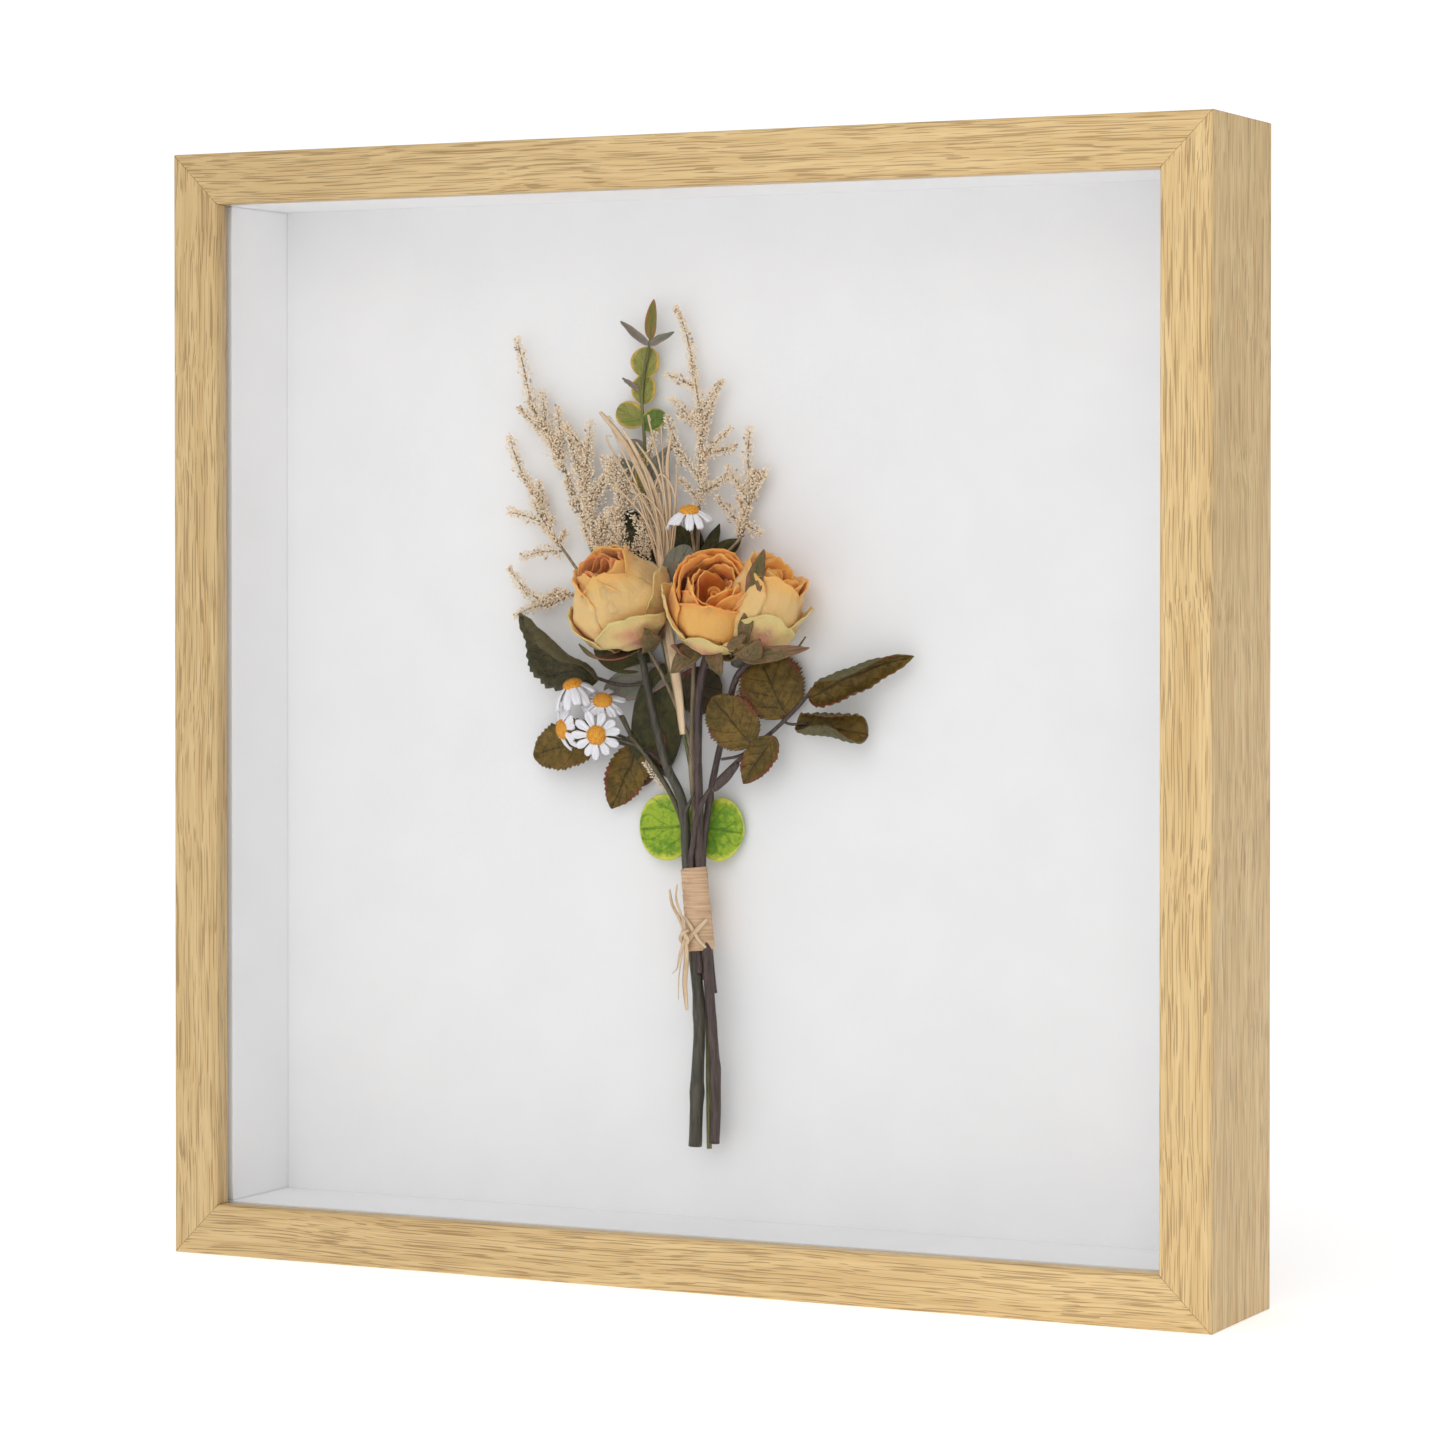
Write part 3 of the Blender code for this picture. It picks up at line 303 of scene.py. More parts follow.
# Section of the glue line in each mitre: distance in from the outer edge, and depth
GLUE_LINE = [(0.9, 0.14), (14.4, 0.14), (15.06, 0.9), (15.06, 5.2), (14.5, 5.76), (10.5, 5.8),
             (10.5, 36.0), (0.14, 36.0), (0.14, 0.9)]
GLUE_LINE_HALF = 0.09


def build_mitre_lines(finish):
    """Glue in the fine gap of each mitre, set just below the faces of the rails."""
    lines = Shape()
    for side in (-1, 1):
        for level in (-1, 1):
            step = Vector((side, 0.0, -level)) * GLUE_LINE_HALF * math.sqrt(0.5)
            corner = Vector((side * HALF_SIDE, 0.0, HALF_SIDE + level * HALF_SIDE))
            ring = [corner + Vector((-side * reach, depth, -level * reach))
                    for reach, depth in GLUE_LINE]
            rows = [[p + step * t for p in ring] for t in (-1.0, 1.0)]
            lines.surface(rows if side * level > 0 else rows[::-1], 0, closed=True, caps=True)
    lines.build("mitre_glue_lines", [finish], slot="oak", flat=True)


def build_papers(finish):
    """Paper that closes the fine gaps where the liners meet the board and each other."""
    gasket, joints = Shape(), Shape()
    far, near = LINER_OUTER, LINER_INNER
    for low, high in (((-far, -far), (far, -near)), ((-far, near), (far, far)),
                      ((-far, -near), (-near, near)), ((near, -near), (far, near))):
        paper_slab(gasket, (low[0], BOARD_GAP[0], HALF_SIDE + low[1]),
                   (high[0], BOARD_GAP[1], HALF_SIDE + high[1]))
    for side in (-1, 1):
        across = sorted((side * (near + 0.02), side * far))
        for level in (-1, 1):
            up = sorted((HALF_SIDE + level * JOINT_GAP[0], HALF_SIDE + level * JOINT_GAP[1]))
            paper_slab(joints, (across[0], LINER_DEPTHS[0], up[0]),
                       (across[1], LINER_DEPTHS[1], up[1]))
    gasket.build("board_gasket_paper", [finish], slot="white_board", flat=True)
    joints.build("liner_joint_paper", [finish], slot="white_board", flat=True)


# ---------------------------------------------------------------- finishes of the bouquet

STEM_ROUGHNESS = 0.45


def leaf_finish(name, face, patch, vein, edge, veins=6.5, edge_from=0.70, roughness=0.5,
                broken=True):
    """Cloth leaf from its place across and along: mottle, midrib, side veins and coloured edge.
    A broken edge shows its colour in patches only."""
    f = Finish(name, roughness, Specular_IOR_Level=0.3)
    u, v = f.uv()
    side = f.math("ABSOLUTE", f.math("MULTIPLY_ADD", u, 2.0, -1.0))
    where = f.object_place()
    mottle = f.noise(where, 650.0, 3.0, 0.65)
    broad = f.noise(where, 110.0, 2.0)
    fine = f.noise(where, 2300.0, 2.0)
    slant = f.math("SUBTRACT", f.math("MULTIPLY", v, veins), f.math("MULTIPLY", side, 1.5))
    gap = f.math("PINGPONG", f.math("ADD", slant, f.math("MULTIPLY", broad, 0.9)), 0.5)
    ribs = f.step(gap, 0.07, 0.0)
    rib = f.step(side, 0.06, 0.01)
    lines = f.math("MAXIMUM", rib, f.math("MULTIPLY", ribs, 0.6))
    tip = f.math("MAXIMUM", side, f.math("ABSOLUTE", f.math("MULTIPLY_ADD", v, 2.0, -1.0)))
    rim = f.step(f.math("ADD", tip, f.math("MULTIPLY", mottle, 0.3)), edge_from, 1.16)
    if broken:
        rim = f.math("MULTIPLY", rim, f.step(f.noise(where, 75.0, 2.0), 0.42, 0.62))
    blend = f.math("ADD", f.math("MULTIPLY", mottle, 0.6), f.math("MULTIPLY", broad, 0.4))
    colour = f.mix(f.step(blend, 0.40, 0.60), face, patch)
    deep = (*[value * 0.45 for value in face[:3]], 1.0)
    colour = f.mix(f.step(fine, 0.52, 0.72, 0.0, 0.35), colour, deep)
    colour = f.mix(f.math("MULTIPLY", lines, 0.5), colour, vein)
    colour = f.mix(rim, colour, edge)
    f.set("Base Color", colour)
    f.set("Roughness", f.step(fine, 0.3, 0.7, roughness - 0.08, roughness + 0.14))
    f.bump(f.math("SUBTRACT", f.math("ADD", f.math("MULTIPLY", fine, 0.25), mottle), lines),
           0.35, 0.8)
    return f.material


def petal_finish(name, base, body, tip, blush, blush_amount=0.0):
    """Cloth petal: colour from base to tip, fine ribs and creases, and a blush near the middle."""
    f = Finish(name, 0.68)
    f.shader.inputs["Sheen Weight"].default_value = 0.15
    f.shader.inputs["Subsurface Weight"].default_value = 0.35
    f.shader.inputs["Subsurface Radius"].default_value = (1.0, 0.42, 0.16)
    f.shader.inputs["Subsurface Scale"].default_value = 2.4 * MM
    u, v = f.uv()
    where = f.object_place()
    ribs = f.noise(f.combine(f.math("MULTIPLY", u, 22.0), f.math("MULTIPLY", v, 2.0)), 1.0, 3.0)
    crease = f.noise(where, 260.0, 4.0, 0.65)
    weave = f.noise(where, 3200.0, 1.0)
    reach = f.math("ADD", v, f.math("MULTIPLY", f.math("SUBTRACT", ribs, 0.5), 0.30))
    colour = f.mix(f.step(reach, 0.0, 0.38), base, body)
    colour = f.mix(f.step(reach, 0.74, 1.02), colour, tip)
    colour = f.mix(f.step(crease, 0.40, 0.75, 0.0, 0.25), colour, tip)
    middle = f.math("ABSOLUTE", f.math("MULTIPLY_ADD", u, 2.0, -1.0))
    spot = f.math("MULTIPLY", f.step(f.math("ADD", middle, f.math("MULTIPLY", crease, 0.6)),
                                     0.95, 0.25), f.step(reach, 0.95, 0.55))
    colour = f.mix(f.math("MULTIPLY", spot, blush_amount), colour, blush)
    f.set("Base Color", colour)
    f.set("Roughness", f.step(weave, 0.3, 0.7, 0.58, 0.80))
    height = f.math("ADD", f.math("MULTIPLY", ribs, 0.5),
                    f.math("ADD", f.math("MULTIPLY", crease, 1.2), f.math("MULTIPLY", weave, 0.12)))
    f.bump(height, 0.55, 0.8)
    return f.material


def stem_finish(name, dark, light, blotches):
    """Moulded stem with long streaks and blotches."""
    f = Finish(name, STEM_ROUGHNESS)
    where = f.object_place()
    streak = f.noise(f.scaled(where, (1.0, 1.0, 0.09)), 1500.0, 3.0, 0.6)
    blotch = f.noise(where, 190.0, 3.0)
    colour = f.mix(f.step(streak, 0.35, 0.7), dark, light)
    colour = f.mix(f.step(blotch, 0.48, 0.7, 0.0, 0.6), colour, blotches)
    f.set("Base Color", colour)
    f.set("Roughness", f.step(streak, 0.3, 0.7, STEM_ROUGHNESS - 0.08, STEM_ROUGHNESS + 0.15))
    f.bump(f.math("ADD", streak, f.math("MULTIPLY", blotch, 0.6)), 0.16, 0.7)
    return f.material


def grain_finish(name, pale, deep, scale, roughness=0.85):
    """Flock and pollen: pale grains with darker gaps between them."""
    f = Finish(name, roughness)
    where = f.object_place()
    fine = f.noise(where, scale, 2.0, 0.6)
    broad = f.noise(where, scale * 0.16, 2.0)
    colour = f.mix(f.step(fine, 0.42, 0.66), pale, deep)
    darker = (*[v * 0.82 for v in pale[:3]], 1.0)
    colour = f.mix(f.step(broad, 0.45, 0.7, 0.0, 0.5), colour, darker)
    f.set("Base Color", colour)
    f.set("Roughness", f.step(fine, 0.3, 0.7, roughness - 0.1, min(roughness + 0.1, 1.0)))
    f.bump(fine, 0.12, 0.6)
    return f.material


def raffia_finish(name, pale, deep, lines=60.0, wound=False):
    """Dried palm strip with fine lines along its length, or round it when it is wound."""
    f = Finish(name, 0.62)
    u, v = f.uv()
    where = f.object_place()
    if wound:
        u, v = f.math("ADD", v, f.math("MULTIPLY", u, 0.06)), u
    line = f.noise(f.combine(f.math("MULTIPLY", u, lines * 0.25), f.math("MULTIPLY", v, 1.3)),
                   1.0, 4.0, 0.7)
    patch = f.noise(where, 240.0, 2.0)
    colour = f.mix(f.step(line, 0.36, 0.68), pale, deep)
    colour = f.mix(f.step(patch, 0.5, 0.75, 0.0, 0.35), colour, srgb(176, 138, 98))
    f.set("Base Color", colour)
    f.set("Roughness", f.step(line, 0.3, 0.7, 0.5, 0.75))
    f.bump(line, 0.12, 0.8)
    return f.material


def daisy_petal_finish():
    f = Finish("daisy_petal", 0.6)
    u, v = f.uv()
    groove = f.noise(f.combine(f.math("MULTIPLY", u, 7.0), f.math("MULTIPLY", v, 1.2)), 1.0, 2.0)
    cloth = f.noise(f.object_place(), 2600.0, 2.0)
    colour = f.mix(f.step(groove, 0.35, 0.7), srgb(246, 246, 250), srgb(222, 222, 230))
    colour = f.mix(f.step(v, 0.30, 0.0, 0.0, 0.7), colour, srgb(224, 219, 190))
    f.set("Base Color", colour)
    f.set("Roughness", f.step(cloth, 0.3, 0.7, 0.5, 0.72))
    f.bump(f.math("ADD", groove, f.math("MULTIPLY", cloth, 0.15)), 0.16, 0.6)
    return f.material


# ---------------------------------------------------------------- shapes

class Shape:
    """Faces of one piece, gathered bit by bit from points in millimetres."""

    def __init__(self):
        self.points, self.faces, self.places, self.slots = [], [], [], []

    def surface(self, rows, slot=0, closed=False, caps=False):
        """Grid through rows of points; a face keeps its share across (u) and along (v)."""
        start, wide, tall = len(self.points), len(rows[0]), len(rows) - 1
        self.points += [point for row in rows for point in row]
        columns = wide if closed else wide - 1
        for i in range(tall):
            for j in range(columns):
                a = start + i * wide + j
                b = start + i * wide + (j + 1) % wide
                left, right = j / columns, (j + 1) / columns
                low, high = i / tall, (i + 1) / tall
                self.add((a, b, b + wide, a + wide),
                         ((left, low), (right, low), (right, high), (left, high)), slot)
        if caps:
            for row, turn in ((0, -1), (tall, 1)):
                ring = [start + row * wide + j for j in range(wide)][::turn]
                self.add(ring, [(0.5, row / tall)] * wide, slot)

    def add(self, corners, places, slot=0):
        self.faces.append(tuple(corners))
        self.places.append(tuple(places))
        self.slots.append(slot)

    def grain(self, root, tip, width, slot=0):
        """Small closed seed shape between two points."""
        axis = tip - root
        side = axis.orthogonal().normalized() * width
        other = axis.normalized().cross(side)
        middle = root + axis * 0.45
        start = len(self.points)
        self.points += [root, middle + side, middle + other, middle - side, middle - other, tip]
        for a, b in ((1, 2), (2, 3), (3, 4), (4, 1)):
            self.add((start, start + b, start + a), ((0.5, 0), (1, 0.5), (0, 0.5)), slot)
            self.add((start + 5, start + a, start + b), ((0.5, 1), (0, 0.5), (1, 0.5)), slot)

    def build(self, name, finishes, stands_for=(), slot=None, thick=0.0, flat=False, back=0):
        """Make the piece; thick gives sheets a second face, with the finish back places on."""
        mesh = bpy.data.meshes.new(name)
        mesh.from_pydata([(x * MM, (y - HALF_DEPTH) * MM, z * MM) for x, y, z in self.points],
                         [], self.faces)
        layer = mesh.uv_layers.new(name="place")
        layer.data.foreach_set("uv", [v for face in self.places for pair in face for v in pair])
        mesh.polygons.foreach_set("material_index", self.slots)
        for finish in finishes:
            mesh.materials.append(finish)
        if not flat:
            mesh.shade_smooth()
        mesh.update()
        piece = bpy.data.objects.new(name, mesh)
        bpy.context.scene.collection.objects.link(piece)
        if thick:
            shell = piece.modifiers.new("thickness", "SOLIDIFY")
            shell.thickness = thick * MM
            shell.offset = 0.0
            shell.material_offset = back
        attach(piece, BODY)
        if stands_for:
            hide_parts(*stands_for)


def smooth_route(points, per_span=6):
    """A smooth curve through the given points."""
    points = [Vector(point) for point in points]
    padded = [points[0], *points, points[-1]]
    route = []
    for before, start, end, after in zip(padded, padded[1:], padded[2:], padded[3:]):
        for i in range(per_span):
            t = i / per_span
            route.append(0.5 * (2 * start + (end - before) * t
                                + (2 * before - 5 * start + 4 * end - after) * t ** 2
                                + (3 * start - before - 3 * end + after) * t ** 3))
    route.append(points[-1])
    return route


def between(stops, share):
    """Value at a share of the way through (share, value) stops, eased between them."""
    for (start, low), (end, high) in zip(stops, stops[1:]):
        if share <= end:
            t = min(max((share - start) / (end - start), 0.0), 1.0)
            return low + (high - low) * t * t * (3 - 2 * t)
    return stops[-1][1]


def wobble(point, scale, seed=0.0):
    """Smooth noise from about -1 to 1 at a place in millimetres."""
    return noise.noise(Vector(point) * scale + Vector((seed, seed * 1.7, seed * 2.3)))


def tangents(route):
    return [(b - a).normalized() for a, b in zip([route[0], *route[:-1]], [*route[1:], route[-1]])]


def tube(shape, route, radius, sides=10, slot=0, rough=0.0):
    """Round rod along a route; radius is a number, or a function of the share of the way."""
    rows, side = [], None
    for index, (point, along) in enumerate(zip(route, tangents(route))):
        share = index / (len(route) - 1)
        side = (side if side is not None else along.orthogonal())
        side = (side - along * side.dot(along)).normalized()
        other = along.cross(side)
        r = radius(share) if callable(radius) else radius
        row = []
        for k in range(sides):
            angle = 2 * math.pi * k / sides
            out = side * math.cos(angle) + other * math.sin(angle)
            swell = 1.0 + rough * wobble(point + out * r, 0.9)
            row.append(point + out * r * swell)
        rows.append(row)
    shape.surface(rows, slot, closed=True, caps=True)


def ribbon(shape, route, width, thick, facing, twist=0.0, ends=0.35):
    """Flat strip along a route, tapering to its ends."""
    rows = []
    for index, (point, along) in enumerate(zip(route, tangents(route))):
        share = index / (len(route) - 1)
        side = along.cross(Vector(facing)).normalized()
        normal = side.cross(along).normalized()
        turn = Matrix.Rotation(twist * share, 3, along)
        side, normal = turn @ side, turn @ normal
        taper = ends + (1 - ends) * math.sin(math.pi * (0.06 + 0.88 * share)) ** 0.6
        half = width / 2 * taper
        rows.append([point + side * half, point + normal * thick / 2 + side * half * 0.3,
                     point + normal * thick / 2 - side * half * 0.4, point - side * half,
                     point - normal * thick / 2])
    shape.surface(rows, closed=True, caps=True)


def outline_of(foot, point):
    """Leaf outline as a function of the way along; small numbers make an end blunt."""
    peak = foot / (foot + point)
    most = peak ** foot * (1 - peak) ** point
    return lambda v: max(v, 0.0) ** foot * max(1 - v, 0.0) ** point / most + 0.004


OVATE = outline_of(0.55, 0.85)
ROUND = outline_of(0.5, 0.5)
BROAD = outline_of(0.5, 0.62)
STUB = outline_of(0.4, 0.22)

LEAF_COLUMNS = 16


def leaf(shape, base, tip, half_width, facing=(0.2, -1.0, 0.1), roll=22.0, bow=0.06, teeth=0,
         outline=OVATE, wave=0.0, slot=0, seed=0.0, rows=26, lean=0.0, hook=0.0):
    """Leaf from base to tip. roll is how far its sides turn up in degrees, bow how far it arches,
    lean moves the fold off the midrib, and hook curls the tip over."""
    base, tip = Vector(base), Vector(tip)
    along = tip - base
    length = along.length
    along.normalize()
    side = along.cross(Vector(facing)).normalized()
    normal = side.cross(along).normalized()
    angle = math.radians(max(abs(roll), 0.5))
    lift = math.copysign(1.0, roll)
    grid = []
    for i in range(rows + 1):
        v = 0.5 - 0.5 * math.cos(math.pi * i / rows)
        half = half_width * outline(v)
        if teeth and 0.06 < v < 0.97:
            half *= 1.0 + 0.16 * ((v * teeth) % 1.0 - 0.5)
        turn = angle * (0.6 + 0.4 * math.sin(math.pi * v))
        row = []
        for j in range(LEAF_COLUMNS + 1):
            s = 2 * j / LEAF_COLUMNS - 1
            here, rest = turn * (s - lean), -turn * lean
            out = half * (math.sin(here) - math.sin(rest)) / turn
            up = lift * half * (math.cos(rest) - math.cos(here)) / turn
            up += length * bow * (math.sin(math.pi * v) - 0.8 * v * v) - hook * v ** 5
            point = base + along * (length * v) + side * out + normal * up
            point += normal * wave * (0.2 + abs(s) ** 1.5) * wobble((v * 6, s * 1.3, seed), 1.0, seed)
            point += side * wave * 0.5 * wobble((v * 5, 0.0, seed + 4.0), 1.0, seed)
            row.append(point)
        grid.append(row)
    shape.surface(grid, slot)


# ---------------------------------------------------------------- roses

# Each rose: middle of the head, way it opens, widest radius, half its height, and its low outer
# petals as (direction in degrees, top, outward flare)
ROSES = {
    "left": {"centre": (-26.8, 24.4, 197.2), "axis": (-0.19, -0.60, 0.77), "radius": 14.2,
             "half": 15.6, "turn": 20.0, "seed": 3.0,
             "mouth": 0.50, "petal": "petal_pale", "inside": "petal_blush",
             "low": ((222.0, 0.24, 0.0), (312.0, 0.22, 2.2), (20.0, 0.40, 0.0))},
    "centre": {"centre": (4.6, 23.4, 195.8), "axis": (0.33, -0.70, 0.63), "radius": 12.7,
               "half": 14.2, "turn": 62.0, "seed": 11.0,
               "mouth": 0.74, "petal": "petal_warm", "inside": "petal_inner",
               "low": ((188.0, 0.50, 0.8), (318.0, 0.30, 1.4), (258.0, 0.02, 0.0))},
    "right": {"centre": (17.4, 27.4, 194.8), "axis": (0.46, -0.06, 0.88), "radius": 11.2,
              "half": 14.8, "turn": 130.0, "seed": 23.0,
              "mouth": 0.74, "petal": "petal_pale", "inside": "petal_inner",
              "low": ((300.0, 0.42, 1.0), (232.0, 0.20, 0.6), (10.0, 0.36, 0.1))},
}

CUP = [(0.0, 0.30), (0.2, 0.66), (0.5, 0.96), (0.8, 1.04), (1.0, 1.02)]
PETAL_WIDTH = [(0.0, 0.34), (0.25, 0.80), (0.55, 1.0), (0.85, 0.98), (1.0, 0.84)]


def belly(mouth):
    """Distance from the axis along an upright petal; mouth is how wide its rim stands."""
    return [(0.0, 0.24), (0.10, 0.52), (0.25, 0.84), (0.42, 0.99), (0.55, 1.0),
            (0.72, 0.60 + 0.40 * mouth), (0.88, 0.22 + 0.78 * mouth), (1.0, mouth)]


# Rings of petals from the outside in: count, radius, foot, top, half spread, finish, rim roll,
# how pointed the petals are
PETAL_RINGS = (
    (4, 1.00, -0.98, 0.95, 62.0, 0, 1.2, 0.16),
    (4, 0.87, -0.80, 0.95, 62.0, 0, 0.9, 0.18),
    (3, 0.73, -0.60, 0.93, 76.0, 1, 0.4, 0.30),
    (3, 0.58, -0.45, 0.90, 80.0, 1, 0.3, 0.36),
    (2, 0.42, -0.40, 0.84, 104.0, 1, 0.2, 0.40),
)
LOW_PETAL_RADIUS = 1.05
LOW_PETAL_SPREAD = 46.0


def rose_pose(rose):
    """Matrix from the rose's own frame, Z towards its opening, to the picture frame's."""
    axis = Vector(rose["axis"]).normalized()
    side = Vector((0.0, 0.0, 1.0)).cross(axis).normalized()
    turn = Matrix((side, axis.cross(side), axis)).transposed().to_4x4()
    return Matrix.Translation(Vector(rose["centre"])) @ turn


def rose_petal(shape, pose, rose, turn, seed, full, foot, top, spread, profile, slot, roll,
               pointed, flare=0.0):
    """One petal: an angle and a height across and along, and a distance from the rose's axis."""
    low, reach = rose["half"] * foot, rose["half"] * top
    rows, columns = 20, 18
    grid = []
    for i in range(rows + 1):
        v = i / rows
        row = []
        for j in range(columns + 1):
            u = 2 * j / columns - 1
            share = v * (1.0 - pointed * abs(u) ** 1.8)
            angle = turn + math.radians(spread) * u * between(PETAL_WIDTH, v)
            out = full * between(profile, share) + 0.55 * u
            rise = low + (reach - low) * share
            rim = max((v - 0.82) / 0.18, 0.0) ** 2
            out += roll * rim + flare * v ** 3
            rise -= roll * 0.5 * rim
            place = (math.cos(angle) * 2, math.sin(angle) * 2, v * 2.2)
            out += (0.35 + 0.5 * v) * wobble(place, 1.1, seed)
            fold = abs(wobble((u * 2.6 + v * 0.8, v * 1.2, 0.0), 1.0, seed + 9.0))
            out += 0.55 * (0.3 + v) * max(1.0 - fold * 5.0, 0.0)
            rise += (1.5 * v * v * wobble((u * 2.4, v, 0.0), 1.0, seed)
                     + 0.5 * v ** 6 * wobble((u * 9.0, 0.0, 0.0), 1.0, seed + 3.0))
            row.append(pose @ Vector((out * math.cos(angle), out * math.sin(angle), rise)))
        grid.append(row)
    shape.surface(grid, slot)


def rose_petals(shape, pose, rose):
    for turn, top, flare in rose["low"]:
        rose_petal(shape, pose, rose, math.radians(turn), rose["seed"] + turn,
                   rose["radius"] * LOW_PETAL_RADIUS, -1.0, top, LOW_PETAL_SPREAD, CUP, 2, 0.4,
                   0.30, flare)
    for count, radius, foot, top, spread, slot, roll, pointed in PETAL_RINGS:
        for index in range(count):
            seed = rose["seed"] + index * 5.3 + radius * 31.0
            chance = random.Random(int(seed * 100))
            turn = math.radians(rose["turn"] + 360.0 * index / count + radius * 190.0
                                + chance.uniform(-12, 12))
            rose_petal(shape, pose, rose, turn, seed, rose["radius"] * radius, foot,
                       top + chance.uniform(-0.08, 0.04), spread, belly(rose["mouth"]), slot,
                       roll, pointed)


def rose_heart(shape, pose, rose):
    """Spiral roll of petal at the middle of the rose."""
    steps = 70
    low, high = rose["half"] * -0.3, rose["half"] * 0.42
    grid = [[], [], [], [], []]
    for j in range(steps + 1):
        share = j / steps
        angle = share * 2 * math.pi * 1.6 + rose["turn"]
        out = rose["radius"] * (0.05 + 0.13 * share)
        for i, row in enumerate(grid):
            v = i / (len(grid) - 1)
            rise = low + (high - low) * v * (0.86 + 0.14 * share)
            lean = out * (1.0 - 0.18 * v) + 0.15 * wobble((angle, v, 0), 1.0, rose["seed"])
            row.append(pose @ Vector((lean * math.cos(angle), lean * math.sin(angle), rise)))
    shape.surface(grid, 1)


# Long sepals that stand beside a rose: base, tip, half width, seed
LONG_SEPALS = {
    "centre": (((0.4, 24.0, 184.4), (-7.8, 19.6, 176.0), 3.4, 4.0),
               ((4.6, 22.0, 182.6), (8.6, 19.0, 175.6), 2.6, 6.0)),
    "right": (((18.8, 18.6, 196.4), (22.8, 17.4, 211.4), 2.7, 1.0),
              ((16.8, 17.2, 184.6), (19.6, 16.4, 196.4), 2.2, 2.0),
              ((12.4, 16.4, 183.0), (18.8, 14.6, 187.4), 1.5, 3.0),
              ((14.0, 22.6, 179.8), (35.0, 20.6, 183.6), 2.4, 5.0)),
    "left": (((-20.0, 26.0, 187.0), (-13.0, 23.0, 197.0), 3.0, 7.0),
             ((-20.6, 29.0, 183.0), (-13.4, 26.0, 190.0), 3.4, 8.0)),
}


def rose_sepals(shape, pose, rose):
    """Five narrow sepals that cup the foot of the rose, and the swelling below them."""
    chance = random.Random(int(rose["seed"] * 7))
    low = -rose["half"]
    for index in range(5):
        turn = math.radians(rose["turn"] + 72 * index + 20)
        length = chance.uniform(12.0, 16.0)
        flare = chance.uniform(0.75, 1.25)
        grid = []
        for i in range(15):
            v = i / 14
            out = 2.0 + (rose["radius"] * 1.0) * math.sin(min(v * 1.25, 1.0) * math.pi / 2) * 1.02
            out += 3.2 * max(v - 0.55, 0.0) * flare
            rise = low - 0.4 + length * v ** 1.5 * (1.15 - 0.25 * flare)
            half = 3.6 * math.sin(math.pi * (0.16 + 0.84 * v)) ** 0.8
            row = []
            for j in range(7):
                s = 2 * j / 6 - 1
                angle = turn + s * half / max(out, 3.0)
                r = out + 0.5 + 0.35 * wobble((s, v * 3, index), 1.2, rose["seed"])
                row.append(pose @ Vector((r * math.cos(angle), r * math.sin(angle), rise)))
            grid.append(row)
        shape.surface(grid, 0)
    rows = []
    for out, rise in ((1.2, -5.4), (1.7, -4.4), (2.9, -2.8), (3.7, -1.0), (4.0, 0.6), (2.0, 1.6)):
        rows.append([pose @ Vector((out * math.cos(a), out * math.sin(a), low + rise + 1.2))
                     for a in [2 * math.pi * k / 14 for k in range(14)]])
    shape.surface(rows, 1, closed=True, caps=True)


def build_roses(finishes):
    guard = finishes["petal_guard"]
    for name, rose in ROSES.items():
        outer, inner = finishes[rose["petal"]], finishes[rose["inside"]]
        pose = rose_pose(rose)
        petals = Shape()
        rose_petals(petals, pose, rose)
        rose_heart(petals, pose, rose)
        petals.build(f"rose_{name}_petals", [outer, inner, guard], [f"rose_{name}"],
                     "rose_petal", thick=0.35)
        sepals = Shape()
        rose_sepals(sepals, pose, rose)
        for base, tip, half, seed in LONG_SEPALS.get(name, ()):
            leaf(sepals, base, tip, half, roll=38.0, bow=0.10, wave=0.5, seed=seed, outline=OVATE)
        sepals.build(f"rose_{name}_sepals", [finishes["sepal_leaf"], finishes["stem_green"]],
                     slot="dark_leaf", thick=0.4)


# ---------------------------------------------------------------- stems

WRAP_LOW = Vector((-4.4, 33.0, 94.6))
WRAP_HIGH = Vector((-6.6, 33.0, 118.8))
SLOT_SPACING = 2.3


def wrap_slot(angle=None):
    if angle is None:
        return Vector((0.0, 0.0, 0.0))
    turn = math.radians(angle)
    return Vector((SLOT_SPACING * math.cos(turn), SLOT_SPACING * math.sin(turn), 0.0))


def through_wrap(slot, below, above):
    """Smooth route of a stem from its cut end up through the wrap and on."""
    return smooth_route([*below, WRAP_LOW + slot, WRAP_HIGH + slot, *above])


def jointed(start, end, joints=(), swell=0.42):
    """Radius that goes from start to end, with a raised joint at each share given."""
    def radius(share):
        bumps = sum(math.exp(-((share - joint) / 0.012) ** 2) for joint in joints)
        return start + (end - start) * share + swell * bumps
    return radius


